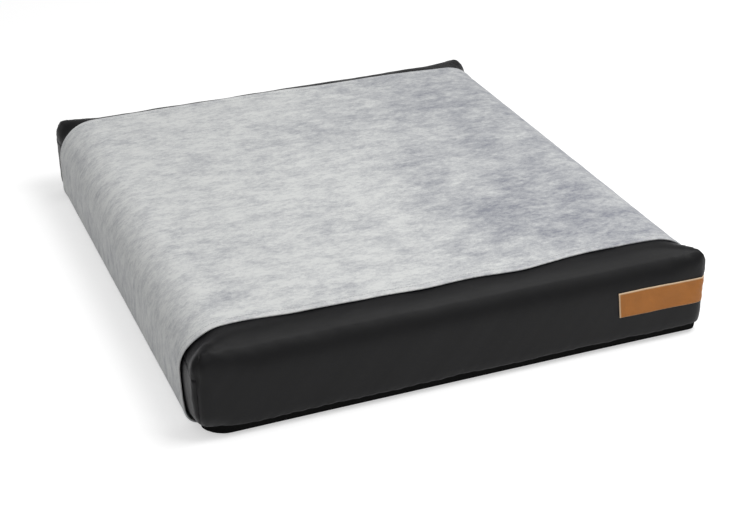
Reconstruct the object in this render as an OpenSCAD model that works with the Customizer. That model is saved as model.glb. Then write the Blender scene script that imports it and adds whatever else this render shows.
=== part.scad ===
// Dog mattress: a foam block in a zipped black case, with a loose velour cover that
// wraps over the top and tucks under both sides. The label faces -Y, +Z is up, and the
// origin is on the floor under the middle of the whole.

/* [Bed] */
// Overall width, over the cover
bed_w = 800; // [600:10:1100]
// Depth of the case from front to back
case_d = 900; // [650:10:1300]
// Overall height, over the cover's hem
bed_h = 145; // [120:1:200]

/* [Case] */
// Thickness of the case cloth
case_t = 1; // [0.6:0.1:1.4]
// Radius of the top edge along the two sides
side_top_r = 60; // [40:1:64]
// Radius of the top edge along the front and the back
end_top_r = 46; // [30:1:48]
// Radius of the bottom edge along the two sides
side_bottom_r = 20; // [10:1:26]
// Radius of the bottom edge along the front and the back
end_bottom_r = 18; // [10:1:26]
// Radius of the upright corners
corner_r = 28; // [15:1:45]
// Height of the seam that joins the base cloth
base_seam_z = 18; // [12:1:26]
// Distance from the top of the case down to the seam along each side panel
side_seam_drop = 42; // [34:1:60]

/* [Foam] */
// Thickness of the soft foam on top
comfort_h = 45; // [20:1:60]
// Thickness of the waterproof liner
liner_t = 0.5; // [0.3:0.1:1]
// Clearance between the foam, the liner and the case
layer_gap = 0.3; // [0.2:0.1:0.6]

/* [Cover] */
// Thickness of the velour with its backing
cover_t = 2; // [1:0.1:3]
// How far the doubled hem stands proud of the velour
hem_t = 0.8; // [0.4:0.1:1.5]
// Width of the front and back hems
hem_w = 14; // [8:1:25]
// Clearance between the cover and the case
cover_gap = 0.4; // [0.3:0.1:1]
// Strip of case left bare in front of the cover
front_margin = 55; // [48:1:120]
// Strip of case left bare behind the cover
back_margin = 52; // [48:1:120]
// Width of each end that tucks under the mattress
flap_w = 120; // [70:1:160]

/* [Hook and loop] */
// Width of a strip
strip_w = 25; // [15:1:40]
// Thickness of a strip
strip_t = 1.2; // [0.8:0.1:2]
// Clearance between a hook strip and its loop strip
strip_gap = 0.3; // [0.2:0.1:0.6]
// Distance from the flap's free edge to its strip
strip_edge = 6; // [3:1:12]

/* [Label] */
// Height of the leather label
label_h = 41; // [20:1:44]
// Length of the label on the flat of the front, up to where the corner turns
label_flat = 128; // [60:1:200]
// Thickness of the leather
label_t = 1.6; // [1:0.1:3]
// Distance from the top of the case down to the label's upper edge
label_drop = 48; // [46:1:56]

/* [Zip] */
// Distance from each end of the zip to where the corner turns
zip_margin = 39; // [10:1:150]
// Distance from the top of the case down to the zip's middle
zip_drop = 76; // [62:1:78]
// Height of the tape above and below the middle
tape_h = 11; // [8:1:12]
// Distance from one tooth to the next along one tape
tooth_pitch = 4; // [3:0.5:6]
// How far the teeth stand out from the tape
tooth_t = 1.4; // [1:0.1:2]
// Half the height of the closed chain of teeth
chain_hw = 3.4; // [3:0.1:5]
// Clearance around the slider and between teeth
zip_gap = 0.3; // [0.2:0.05:0.5]
// Length of each stop at the ends of the chain
stop_l = 4; // [3:0.5:8]
// Length of the slider
slider_l = 14; // [12:1:24]
// Thickness of the slider's plate and side walls
slider_t = 1.2; // [0.8:0.1:2]
// Radius of the bar that carries the pull
bar_r = 0.9; // [0.7:0.1:1.5]
// Radial clearance of the pull's eye on its bar
eye_gap = 0.1; // [0.05:0.05:0.2]
// Wall of the pull's eye around its bar
eye_wall = 1.3; // [0.8:0.1:2]
// Width of the pull's tab
pull_w = 8; // [6:1:12]
// Length of the pull below its bar
pull_l = 26; // [16:1:32]
// Thickness of the pull's tab
pull_t = 1.4; // [1:0.1:2]

/* [Hidden] */
// overlap that makes two cuts or unions share volume
bite = 1;
// straight steps in a quarter turn of a broad edge, and of a tight one
broad_steps = 8;
tight_steps = 6;

// heights under the sides: hem, velour, then the two strips, then the case
flap_top_z = hem_t + cover_t;
margin_z = flap_top_z + strip_t + strip_gap + strip_t;
case_top_z = bed_h - hem_t - cover_t - cover_gap;
split_z = case_top_z - comfort_h;
side_seam_z = case_top_z - side_seam_drop;
label_z = case_top_z - label_drop - label_h;
zip_z = case_top_z - zip_drop;

case_hw = bed_w / 2 - hem_t - cover_t - cover_gap;
flap_end_x = case_hw - flap_w;
flap_end_gap = 3;
core_hw = flap_end_x - flap_end_gap;
// where the upright seams run, at 45 degrees round each corner
seam_x = case_hw - corner_r * (1 - sin(45));

liner_inset = case_t + layer_gap;
foam_inset = liner_inset + liner_t + layer_gap;

// the slider's stack stands out from the back face, and the label from the front
eye_r = bar_r + eye_gap + eye_wall;
plate_y = tooth_t + zip_gap;
bar_y = plate_y + slider_t + eye_r + zip_gap;
zip_proud = bar_y + eye_r;
// shifts the case so that the whole is centred from front to back
case_y = (label_t - zip_proud) / 2;
front_y = case_y - case_d / 2;
back_y = case_y + case_d / 2;

cover_front_y = front_y + front_margin;
cover_back_y = back_y - back_margin;

zip_l = 2 * (case_hw - corner_r - zip_margin);
chain_l = zip_l - 2 * stop_l;
slider_h = 2 * (chain_hw + zip_gap + slider_t);
slider_x = chain_l / 2 - zip_gap - slider_l / 2;
post_l = 1.8;
eye_w = slider_l - 2 * post_l - 2 * zip_gap - 2;

case_black = "#27272a";
velour_grey = "#c3c6c4";
strip_grey = "#5a5c60";

// ---- outlines ----

// points of a quarter turn about c, from the given angle
function quarter(c, r, from, steps) =
    [for (i = [0:steps]) c + r * [cos(from + 90 * i / steps), sin(from + 90 * i / steps)]];

// a slab seen end on: half-width hw, from z0 up to z1, with its own top and bottom radii
module slab_outline(hw, z0, z1, bottom_r, top_r) {
    polygon(concat(
        quarter([hw - top_r, z1 - top_r], top_r, 0, broad_steps),
        quarter([top_r - hw, z1 - top_r], top_r, 90, broad_steps),
        quarter([bottom_r - hw, z0 + bottom_r], bottom_r, 180, tight_steps),
        quarter([hw - bottom_r, z0 + bottom_r], bottom_r, 270, tight_steps)
    ));
}

// a rectangle with four equal round corners
module plan_outline(hw, hd, r) {
    polygon(concat(
        quarter([hw - r, hd - r], r, 0, tight_steps),
        quarter([r - hw, hd - r], r, 90, tight_steps),
        quarter([r - hw, r - hd], r, 180, tight_steps),
        quarter([hw - r, r - hd], r, 270, tight_steps)
    ));
}

// runs an outline in X and Z from y0 to y1
module along_y(y0, y1) {
    translate([0, y1, 0]) rotate([90, 0, 0]) linear_extrude(y1 - y0) children();
}

// ---- the mattress's own shape ----

// the filled case, drawn in by the inset, with its core standing on the floor and its
// side margins raised to leave room for the tucked cover
module mattress(inset) {
    intersection() {
        along_y(front_y - bed_h, back_y + bed_h) union() {
            slab_outline(case_hw - inset, margin_z + inset, case_top_z - inset,
                side_bottom_r - inset, side_top_r - inset);
            translate([inset - core_hw, inset])
                square([2 * (core_hw - inset), margin_z + side_bottom_r]);
        }
        translate([0, case_y, 0]) rotate([90, 0, 90]) linear_extrude(bed_w + bed_h, center = true)
            slab_outline(case_d / 2 - inset, inset, case_top_z - inset,
                end_bottom_r - inset, end_top_r - inset);
        translate([0, case_y, -bite]) linear_extrude(bed_h + bite)
            plan_outline(case_hw - inset, case_d / 2 - inset, corner_r - inset);
    }
}

module case_shell() {
    difference() {
        mattress(0);
        mattress(case_t);
    }
}

// everything between two heights
module layer(z0, z1) {
    translate([-bed_w, -case_d, z0]) cube([2 * bed_w, 2 * case_d, z1 - z0]);
}

// the zone of a side panel, on the side given by side = -1 or 1
module side_zone(side) {
    x0 = side < 0 ? -bed_w : seam_x;
    translate([x0, -case_d, base_seam_z]) cube([bed_w - seam_x, 2 * case_d, side_seam_z - base_seam_z]);
}

// the back wall from the base seam up to the height z1
module back_zone(z1) {
    translate([-seam_x, case_y, base_seam_z]) cube([2 * seam_x, case_d, z1 - base_seam_z]);
}

// the slot in the back wall that the zip fills
module zip_slot() {
    translate([-zip_l / 2, back_y - case_t - bite, zip_z - tape_h])
        cube([zip_l, case_t + 2 * bite, 2 * tape_h]);
}

// ---- foam ----

module comfort_foam() {
    color("#e8dfc4") intersection() {
        mattress(foam_inset);
        layer(split_z, bed_h);
    }
}

module base_foam() {
    color("#cfd6da") intersection() {
        mattress(foam_inset);
        layer(-bite, split_z);
    }
}

module foam_liner() {
    color("#dfe4e6") difference() {
        mattress(liner_inset);
        mattress(liner_inset + liner_t);
    }
}

// ---- case ----

module case_top_panel() {
    color(case_black) difference() {
        intersection() {
            case_shell();
            layer(base_seam_z, bed_h);
        }
        for (side = [-1, 1]) side_zone(side);
        back_zone(zip_z + tape_h);
    }
}

module case_side_panel(side) {
    color(case_black) intersection() {
        case_shell();
        side_zone(side);
    }
}

module case_left_panel() { case_side_panel(-1); }

module case_right_panel() { case_side_panel(1); }

module case_back_panel() {
    color(case_black) difference() {
        intersection() {
            case_shell();
            back_zone(zip_z + tape_h);
        }
        zip_slot();
    }
}

module case_base_panel() {
    color("#3a3b3d") intersection() {
        case_shell();
        layer(-bite, base_seam_z);
    }
}

// ---- label ----

module leather_label() {
    label_x = case_hw - corner_r - label_flat;
    color("#a56a33") intersection() {
        difference() {
            mattress(-label_t);
            mattress(0);
        }
        translate([label_x, front_y - corner_r, label_z])
            cube([seam_x - label_x, 2 * corner_r, label_h]);
    }
}

// ---- zip ----

module zip_tape(side) {
    color("#1d1d1f") translate([-zip_l / 2, back_y - case_t, zip_z])
        mirror([0, 0, side < 0 ? 1 : 0]) translate([0, 0, zip_gap / 2])
            cube([zip_l, case_t, tape_h - zip_gap / 2]);
}

module zip_tape_upper() { zip_tape(1); }

module zip_tape_lower() { zip_tape(-1); }

// one comb of teeth: a spine with teeth that reach past the middle between those opposite
module zip_teeth(side) {
    count = floor(chain_l / tooth_pitch) - 1;
    tooth_w = tooth_pitch / 2 - zip_gap;
    reach = chain_hw / 3;
    spine = reach + zip_gap;
    first = side * tooth_pitch / 4 - (count - 1) * tooth_pitch / 2;
    bites = [for (i = [0:count - 1], p = [[-1, spine], [-1, -reach], [1, -reach], [1, spine]])
        [first + i * tooth_pitch + p[0] * tooth_w / 2, p[1]]];
    color("#3c3d40") translate([0, back_y + tooth_t, zip_z]) mirror([0, 0, side < 0 ? 1 : 0])
        rotate([90, 0, 0]) linear_extrude(tooth_t)
            polygon(concat([[-chain_l / 2, spine]], bites,
                [[chain_l / 2, spine], [chain_l / 2, chain_hw], [-chain_l / 2, chain_hw]]));
}

module zip_teeth_upper() { zip_teeth(1); }

module zip_teeth_lower() { zip_teeth(-1); }

module zip_stops() {
    color("#8d9094") for (x = [-zip_l / 2, chain_l / 2])
        translate([x, back_y, zip_z - chain_hw]) cube([stop_l, tooth_t, 2 * chain_hw]);
}

// a saddle that straddles the chain, with a bar across the top for the pull
module zip_slider() {
    color("#8d9094") translate([slider_x, back_y, zip_z]) union() {
        translate([-slider_l / 2, plate_y, -slider_h / 2]) cube([slider_l, slider_t, slider_h]);
        for (z = [-slider_h / 2, slider_h / 2 - slider_t])
            translate([-slider_l / 2, zip_gap, z]) cube([slider_l, plate_y - zip_gap + slider_t, slider_t]);
        for (x = [-slider_l / 2, slider_l / 2 - post_l])
            translate([x, plate_y, -bar_r - slider_t / 2])
                cube([post_l, bar_y + bar_r + slider_t / 2 - plate_y, 2 * bar_r + slider_t]);
        translate([0, bar_y, 0]) rotate([0, 90, 0])
            cylinder(r = bar_r, h = slider_l - post_l, center = true, $fn = 32);
    }
}

// a tab that hangs from the slider's bar by an eye
module zip_pull() {
    window_w = pull_w / 2;
    window_l = pull_l / 3;
    color("#9a9da1") translate([slider_x, back_y + bar_y, zip_z]) difference() {
        union() {
            rotate([0, 90, 0]) cylinder(r = eye_r, h = eye_w, center = true, $fn = 48);
            translate([-eye_w / 2, -pull_t / 2, -eye_r - pull_w / 2])
                cube([eye_w, pull_t, eye_r + pull_w / 2]);
            translate([-pull_w / 2, -pull_t / 2, -pull_l])
                cube([pull_w, pull_t, pull_l - eye_r - pull_w / 4]);
        }
        rotate([0, 90, 0]) cylinder(r = bar_r + eye_gap, h = eye_w + bite, center = true, $fn = 48);
        translate([-window_w / 2, -pull_t, window_w / 2 - pull_l])
            cube([window_w, 2 * pull_t, window_l]);
    }
}

// ---- cover ----

// the cover seen end on, filled, standing out from its inside by the given amount
module cover_outline(out) {
    slab_outline(case_hw + cover_gap + out, flap_top_z - out, case_top_z + cover_gap + out,
        side_bottom_r + cover_gap + out, side_top_r + cover_gap + out);
}

module cover_band() {
    color(velour_grey) difference() {
        union() {
            along_y(cover_front_y, cover_back_y) cover_outline(cover_t);
            along_y(cover_front_y, cover_front_y + hem_w) cover_outline(cover_t + hem_t);
            along_y(cover_back_y - hem_w, cover_back_y) cover_outline(cover_t + hem_t);
        }
        along_y(cover_front_y - bite, cover_back_y + bite) cover_outline(0);
        along_y(cover_front_y - bite, cover_back_y + bite) translate([-flap_end_x, -bite])
            square([2 * flap_end_x, flap_top_z + 2 * bite]);
    }
}

// a strip along the tucked end of the cover, on the side given by side = -1 or 1
module strip(side, z) {
    x0 = side < 0 ? -flap_end_x - strip_edge - strip_w : flap_end_x + strip_edge;
    translate([x0, cover_front_y + hem_w, z])
        cube([strip_w, cover_back_y - cover_front_y - 2 * hem_w, strip_t]);
}

module hook_strip_left() { color(strip_grey) strip(-1, flap_top_z); }

module hook_strip_right() { color(strip_grey) strip(1, flap_top_z); }

module loop_strip_left() { color(case_black) strip(-1, margin_z - strip_t); }

module loop_strip_right() { color(case_black) strip(1, margin_z - strip_t); }

comfort_foam();
base_foam();
foam_liner();
case_top_panel();
case_left_panel();
case_right_panel();
case_back_panel();
case_base_panel();
loop_strip_left();
loop_strip_right();
leather_label();
zip_tape_upper();
zip_tape_lower();
zip_teeth_upper();
zip_teeth_lower();
zip_stops();
zip_slider();
zip_pull();
cover_band();
hook_strip_left();
hook_strip_right();
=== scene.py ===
"""Looks of a dog mattress: foam in a zipped woven case, with a velour cover and a leather label.

The sizes come from the packed frame. Everything is in metres, +Z is up and the label faces -Y.
"""

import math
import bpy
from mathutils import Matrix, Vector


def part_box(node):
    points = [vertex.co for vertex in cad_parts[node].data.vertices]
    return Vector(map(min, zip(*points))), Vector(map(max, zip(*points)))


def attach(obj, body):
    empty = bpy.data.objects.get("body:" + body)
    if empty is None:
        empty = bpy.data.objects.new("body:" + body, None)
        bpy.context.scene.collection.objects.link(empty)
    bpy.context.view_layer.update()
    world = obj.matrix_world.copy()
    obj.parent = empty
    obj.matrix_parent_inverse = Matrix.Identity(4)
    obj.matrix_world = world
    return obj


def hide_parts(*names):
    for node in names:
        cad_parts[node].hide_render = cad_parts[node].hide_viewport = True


bl_info = {
    "name": "Dog mattress",
    "version": (1, 0, 0),
    "blender": (4, 5, 0),
    "location": "3D View > Sidebar > Mattress",
    "description": "Builds a zipped dog mattress with its velour cover, label and studio",
    "category": "Add Mesh",
}

import bmesh
import bpy
import numpy as np
from bpy.props import FloatProperty, FloatVectorProperty, IntProperty, PointerProperty
from mathutils import Matrix, Vector
from mathutils.bvhtree import BVHTree
from mathutils.kdtree import KDTree

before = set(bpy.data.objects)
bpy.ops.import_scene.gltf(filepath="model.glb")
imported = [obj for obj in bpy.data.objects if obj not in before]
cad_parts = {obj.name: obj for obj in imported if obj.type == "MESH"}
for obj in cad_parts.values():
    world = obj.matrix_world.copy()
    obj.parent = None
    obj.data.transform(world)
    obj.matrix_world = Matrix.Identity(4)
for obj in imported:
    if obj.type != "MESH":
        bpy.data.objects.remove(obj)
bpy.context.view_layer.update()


# ---- sizes that the frame holds ----

def low(node):
    """Lowest corner of a node of the frame."""
    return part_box(node)[0]


def high(node):
    """Highest corner of a node of the frame."""
    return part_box(node)[1]


CASE_HW = high("case_right_panel").x
CASE_TOP = high("case_top_panel").z
FRONT_Y = low("case_top_panel").y
BACK_Y = high("case_top_panel").y
CASE_Y = (FRONT_Y + BACK_Y) / 2
CASE_HD = (BACK_Y - FRONT_Y) / 2
SEAM_X = high("case_back_panel").x
BASE_SEAM_Z = low("case_right_panel").z
SIDE_SEAM_Z = high("case_right_panel").z
SPLIT_Z = low("comfort_foam").z
MARGIN_Z = high("loop_strip_left").z
CORNER_R = (CASE_HW - SEAM_X) / (1 - math.sin(math.radians(45)))

# radii of the mattress's edges, as its frame has them
SIDE_TOP_R = 0.060
END_TOP_R = 0.046
SIDE_BOTTOM_R = 0.020

# the base's middle stands between the tucked ends of the cover
FLAP_EDGE = 0.006
FLAP_END_GAP = 0.003
FLAP_END_X = low("loop_strip_right").x - FLAP_EDGE
CORE_HW = FLAP_END_X - FLAP_END_GAP

COVER_LOW, COVER_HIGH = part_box("cover_band")
HEM_PROUD = 0.0008
COVER_T = 0.002
HEM_W = 0.014


# ---- settings that a user may change ----

class CaseSettings(bpy.types.PropertyGroup):
    """The black case and its base cloth."""
    cell: FloatProperty(name="Cell", description="Size of a mesh cell before it is subdivided",
                        default=0.0105, min=0.006, max=0.03, unit="LENGTH")
    cloth_t: FloatProperty(name="Cloth", description="Thickness of the case cloth",
                           default=0.001, min=0.0005, max=0.002, unit="LENGTH")
    crown: FloatProperty(name="Crown", description="Fall of the top from its middle to its edges",
                         default=0.0022, min=0, max=0.01, unit="LENGTH")
    pull_in: FloatProperty(name="Pull in", description="How far the walls draw in between the corners",
                           default=0.0018, min=0, max=0.01, unit="LENGTH")
    seam_dip: FloatProperty(name="Seam dip", description="Depth of the groove along each seam",
                            default=0.0022, min=0, max=0.006, unit="LENGTH")
    undercut: FloatProperty(name="Undercut", description="How far the base cloth stands in under the walls",
                            default=0.0045, min=0, max=0.012, unit="LENGTH")
    tip_side_r: FloatProperty(name="Tip side radius", description="Radius of the side's top edge at a corner",
                              default=0.030, min=0.02, max=0.06, unit="LENGTH")
    tip_end_r: FloatProperty(name="Tip end radius", description="Radius of the end's top edge at a corner",
                             default=0.026, min=0.02, max=0.046, unit="LENGTH")
    swell: FloatProperty(name="Swell", description="Most that the simulated cloth may move",
                         default=0.0035, min=0, max=0.02, unit="LENGTH")
    pressure: FloatProperty(name="Pressure", description="Pressure of the filling on the cloth",
                            default=4, min=0, max=20)
    frames: IntProperty(name="Frames", description="Frames of cloth simulation", default=20, min=2, max=60)
    dot_pitch: FloatProperty(name="Dot pitch", description="Distance between the grip dots of the base",
                             default=0.016, min=0.008, max=0.05, unit="LENGTH")
    black: FloatVectorProperty(name="Case cloth", description="Colour of the case cloth", subtype="COLOR",
                               default=(0.0060, 0.0060, 0.0066), size=3, min=0, max=1)
    # near black for a grey cloth: painted shade from the lip that overhangs the base
    base: FloatVectorProperty(name="Base cloth", description="Colour of the base cloth", subtype="COLOR",
                              default=(0.009, 0.009, 0.009), size=3, min=0, max=1)


class CoverSettings(bpy.types.PropertyGroup):
    """The velour cover."""
    cell: FloatProperty(name="Cell", description="Size of a mesh cell along the cover",
                        default=0.0075, min=0.004, max=0.02, unit="LENGTH")
    wave: FloatProperty(name="Wave", description="How far the loose cloth stands off the case",
                        default=0.0009, min=0, max=0.004, unit="LENGTH")
    edge_wave: FloatProperty(name="Edge wave", description="How far the front edge wanders",
                             default=0.0012, min=0, max=0.01, unit="LENGTH")
    stitch: FloatProperty(name="Stitch", description="Length of one stitch and its gap",
                          default=0.0042, min=0.002, max=0.01, unit="LENGTH")
    light: FloatVectorProperty(name="Velour", description="Colour of the brushed pile", subtype="COLOR",
                               default=(0.636, 0.646, 0.645), size=3, min=0, max=1)
    # the painted shade over the right side also darkens towards this colour
    shade: FloatVectorProperty(name="Velour shade", description="Colour of its cloudy patches",
                               subtype="COLOR", default=(0.335, 0.345, 0.378), size=3, min=0, max=1)


class LabelSettings(bpy.types.PropertyGroup):
    """The leather label."""
    cell: FloatProperty(name="Cell", description="Size of a mesh cell of the label",
                        default=0.002, min=0.001, max=0.01, unit="LENGTH")
    leather: FloatVectorProperty(name="Leather", description="Colour of the grain side", subtype="COLOR",
                                 default=(0.50, 0.185, 0.036), size=3, min=0, max=1)
    cut: FloatVectorProperty(name="Cut edge", description="Colour of the cut edge", subtype="COLOR",
                             default=(0.80, 0.60, 0.40), size=3, min=0, max=1)


class StudioSettings(bpy.types.PropertyGroup):
    """Floor, lamps and camera."""
    lens: FloatProperty(name="Lens", description="Focal length on a 36 mm sensor", default=77.5,
                        min=20, max=200, unit="CAMERA")
    azimuth: FloatProperty(name="Azimuth", description="Turn of the camera about the mattress",
                           default=math.radians(-21.31), subtype="ANGLE")
    elevation: FloatProperty(name="Elevation", description="Height of the camera as an angle",
                             default=math.radians(27.83), subtype="ANGLE")
    distance: FloatProperty(name="Distance", description="From the camera to the point it looks at",
                            default=2.656, min=0.5, max=10, unit="LENGTH")
    roll: FloatProperty(name="Roll", description="Tilt of the camera about its own axis",
                        default=math.radians(-0.84), subtype="ANGLE")
    target: FloatVectorProperty(name="Target", description="The point that the camera looks at",
                                subtype="XYZ", default=(0.0184, -0.0564, 0.0), size=3, unit="LENGTH")
    key: FloatProperty(name="Key", description="Power of the large lamp", default=36, min=0, unit="POWER")
    sky: FloatProperty(name="Sky", description="Strength of the even light all round", default=0.50, min=0)


GROUPS = {
    "mattress_case": CaseSettings,
    "mattress_cover": CoverSettings,
    "mattress_label": LabelSettings,
    "mattress_studio": StudioSettings,
}


# ---- small helpers ----

def smooth(t):
    """0 below 0, 1 above 1, and a smooth step between."""
    t = np.clip(t, 0, 1)
    return t * t * (3 - 2 * t)


def ripple(p, scale, seed=0.0):
    """Soft noise from -1 to 1 over points p, as sums of sines that never line up."""
    x, y, z = (p * scale).T
    a = np.sin(1.0 * x + 1.7 * y + seed) * np.cos(1.3 * y - 0.8 * z + 2.1 * seed)
    b = np.sin(2.3 * x - 1.1 * y + 1.9 * z + 3.3 * seed) * np.cos(0.7 * x + 2.9 * y + seed)
    c = np.sin(3.1 * x + 4.3 * y - 2.7 * z + 0.7 * seed)
    return (a + 0.6 * b + 0.3 * c) / 1.9


def stations(start, end, step, marks=()):
    """Places from start to end about a step apart, with each mark among them."""
    ends = sorted([start, end, *marks])
    places = [start]
    for a, b in zip(ends, ends[1:]):
        count = max(1, round((b - a) / step))
        places += [a + (b - a) * i / count for i in range(1, count + 1)]
    return np.array(places)


def bell(distance, spread):
    """1 at no distance, falling away over the spread."""
    return np.exp(-(distance / spread) ** 2)


def in_scene(name, data):
    """A new object in the scene."""
    made = bpy.data.objects.new(name, data)
    bpy.context.scene.collection.objects.link(made)
    return made


def new_object(name, points, faces, body, uvs=None):
    """A mesh object that rides on a body. uvs holds one pair for each corner of each face."""
    mesh = bpy.data.meshes.new(name)
    mesh.from_pydata([tuple(p) for p in points], [], [tuple(int(i) for i in f) for f in faces])
    if uvs is not None:
        layer = mesh.uv_layers.new(name="cloth")
        layer.uv.foreach_set("vector", np.asarray(uvs, np.float32).ravel())
    smooth_shading(mesh)
    mesh.update()
    piece = in_scene(name, mesh)
    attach(piece, body)
    return piece


def smooth_shading(mesh):
    """Shades all of a mesh's faces smoothly."""
    mesh.polygons.foreach_set("use_smooth", [True] * len(mesh.polygons))


def dress(piece, *materials):
    """Puts materials into a piece's slots."""
    piece.data.materials.clear()
    for m in materials:
        piece.data.materials.append(m)
    return piece


def thicken(piece, thickness):
    """Gives a sheet its thickness, on its inner side."""
    solid = piece.modifiers.new("Thickness", "SOLIDIFY")
    solid.thickness = thickness
    solid.offset = -1.0
    solid.use_even_offset = False


def round_edges(piece, width, segments, angle, harden=False):
    """Rounds a piece's edges that turn by more than an angle, in degrees."""
    bevel = piece.modifiers.new("Rounded edges", "BEVEL")
    bevel.width = width
    bevel.segments = segments
    bevel.limit_method = "ANGLE"
    bevel.angle_limit = math.radians(angle)
    bevel.harden_normals = harden


def fix_normals(piece, join=False):
    """Turns a closed piece's faces outwards, and joins its doubled points where asked."""
    mesh = bmesh.new()
    mesh.from_mesh(piece.data)
    if join:
        bmesh.ops.remove_doubles(mesh, verts=mesh.verts, dist=1e-6)
    bmesh.ops.recalc_face_normals(mesh, faces=mesh.faces)
    mesh.to_mesh(piece.data)
    mesh.free()


def two_sided_faces(rows, cols):
    """Faces of a thin closed sheet, whose two sides are grids of points, one grid after the other."""
    faces, shift = [], rows * cols
    for i in range(rows - 1):
        for j in range(cols - 1):
            a, b = i * cols + j, (i + 1) * cols + j
            faces += [(a, b, b + 1, a + 1), (shift + a, shift + a + 1, shift + b + 1, shift + b)]
    ring = [i * cols for i in range(rows)] + [(rows - 1) * cols + j for j in range(1, cols)]
    ring += [i * cols + cols - 1 for i in range(rows - 2, -1, -1)] + list(range(cols - 2, 0, -1))
    return faces + [(b, a, shift + a, shift + b) for a, b in zip(ring, ring[1:] + ring[:1])]


def vertex_values(mesh, attribute):
    """Three numbers for each point of a mesh, as an array."""
    values = np.zeros(len(mesh.vertices) * 3)
    mesh.vertices.foreach_get(attribute, values)
    return values.reshape(-1, 3)


# ---- materials ----

class Finish:
    """A material or a node group that is being built."""

    def __init__(self, tree):
        self.tree = tree

    def add(self, kind, links=None, **values):
        """A node, with values for its properties and links or numbers for its inputs."""
        node = self.tree.nodes.new(kind)
        for name, value in values.items():
            setattr(node, name, value)
        for socket, value in (links or {}).items():
            if isinstance(value, bpy.types.NodeSocket):
                self.tree.links.new(value, node.inputs[socket])
            else:
                node.inputs[socket].default_value = value
        return node

    def math(self, operation, *values):
        """A Math node's result."""
        return self.add("ShaderNodeMath", dict(enumerate(values)), operation=operation).outputs[0]

    def mix(self, factor, a, b):
        """A blend of two colours."""
        node = self.add("ShaderNodeMix", data_type="RGBA")
        for socket, value in zip((node.inputs[0], node.inputs[6], node.inputs[7]), (factor, a, b)):
            if isinstance(value, bpy.types.NodeSocket):
                self.tree.links.new(value, socket)
            else:
                socket.default_value = value
        return node.outputs[2]

    def ramp(self, value, start, end):
        """The value spread from 0 at start to 1 at end."""
        node = self.add("ShaderNodeMapRange", {"Value": value, "From Min": start, "From Max": end},
                        interpolation_type="SMOOTHSTEP")
        return node.outputs[0]

    def noise(self, vector, scale, detail=3.0, roughness=0.55):
        """A noise value over the surface."""
        node = self.add("ShaderNodeTexNoise", {"Vector": vector, "Scale": scale, "Detail": detail,
                                                 "Roughness": roughness})
        return node.outputs[0]

    def stretched(self, vector, scale):
        """The coordinates scaled along each axis."""
        return self.add("ShaderNodeMapping", {"Vector": vector, "Scale": scale}).outputs[0]


def rgba(colour, gain=1.0):
    """Four channels from three."""
    return (colour[0] * gain, colour[1] * gain, colour[2] * gain, 1.0)


def node_group(name, inputs, outputs):
    """A new group with its sockets, its inputs' node and a function that sets an output."""
    group = bpy.data.node_groups.new(name, "ShaderNodeTree")
    for kind, label, default in inputs:
        socket = group.interface.new_socket(name=label, in_out="INPUT", socket_type=kind)
        if default is not None:
            socket.default_value = default
    for kind, label in outputs:
        group.interface.new_socket(name=label, in_out="OUTPUT", socket_type=kind)
    finish = Finish(group)
    given = finish.add("NodeGroupInput")
    shown = finish.add("NodeGroupOutput")

    def put(label, value):
        group.links.new(value, shown.inputs[label])

    return group, finish, given, put


def weave_group():
    """Threads over and under each other: a height, and which thread is on top."""
    group, f, given, put = node_group(
        "woven_threads",
        [("NodeSocketVector", "Place", None), ("NodeSocketFloat", "Threads", 1200.0)],
        [("NodeSocketFloat", "Height"), ("NodeSocketFloat", "Warp")])
    at = f.add("ShaderNodeSeparateXYZ", {0: given.outputs["Place"]})
    pi_threads = f.math("MULTIPLY", given.outputs["Threads"], math.pi)
    across = f.math("SINE", f.math("MULTIPLY", at.outputs[0], pi_threads))
    along = f.math("SINE", f.math("MULTIPLY", at.outputs[1], pi_threads))
    over = f.math("GREATER_THAN", f.math("MULTIPLY", across, along), 0.0)
    warp = f.math("ABSOLUTE", across)
    weft = f.math("ABSOLUTE", along)
    top = f.math("MULTIPLY", over, warp)
    bottom = f.math("MULTIPLY", f.math("SUBTRACT", 1.0, over), weft)
    put("Height", f.math("ADD", top, bottom))
    put("Warp", over)
    return group


def cloud_group():
    """Slow variation over a surface, from 0 to 1, at two sizes."""
    group, f, given, put = node_group(
        "cloudy",
        [("NodeSocketVector", "Place", None), ("NodeSocketFloat", "Size", 6.0),
         ("NodeSocketFloat", "Contrast", 1.0)],
        [("NodeSocketFloat", "Mask")])
    broad = f.noise(given.outputs["Place"], given.outputs["Size"], 4.0, 0.6)
    fine = f.noise(given.outputs["Place"], f.math("MULTIPLY", given.outputs["Size"], 5.0), 3.0, 0.6)
    both = f.math("ADD", f.math("MULTIPLY", broad, 0.75), f.math("MULTIPLY", fine, 0.25))
    centred = f.math("MULTIPLY", f.math("SUBTRACT", both, 0.5), given.outputs["Contrast"])
    put("Mask", f.add("ShaderNodeClamp", {0: f.math("ADD", centred, 0.5)}).outputs[0])
    return group


def lint_group():
    """Specks of dust and short pale fibres that a dark cloth holds."""
    group, f, given, put = node_group(
        "lint", [("NodeSocketVector", "Place", None), ("NodeSocketFloat", "Amount", 0.5)],
        [("NodeSocketFloat", "Mask")])
    speck = f.noise(given.outputs["Place"], 420.0, 2.0, 0.7)
    patch = f.noise(given.outputs["Place"], 9.0, 3.0, 0.6)
    dots = f.ramp(speck, 0.66, 0.80)
    put("Mask", f.math("MULTIPLY", f.math("MULTIPLY", dots, patch), given.outputs["Amount"]))
    return group


def place_group(f, name, make, links):
    """A shared group, made once and placed in a material with its own values."""
    group = bpy.data.node_groups.get(name) or make()
    return f.add("ShaderNodeGroup", links, node_tree=group).outputs


def blank_nodes(owner):
    """The emptied node tree of a material or a world."""
    owner.use_nodes = True
    owner.node_tree.nodes.clear()
    return Finish(owner.node_tree)


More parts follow.
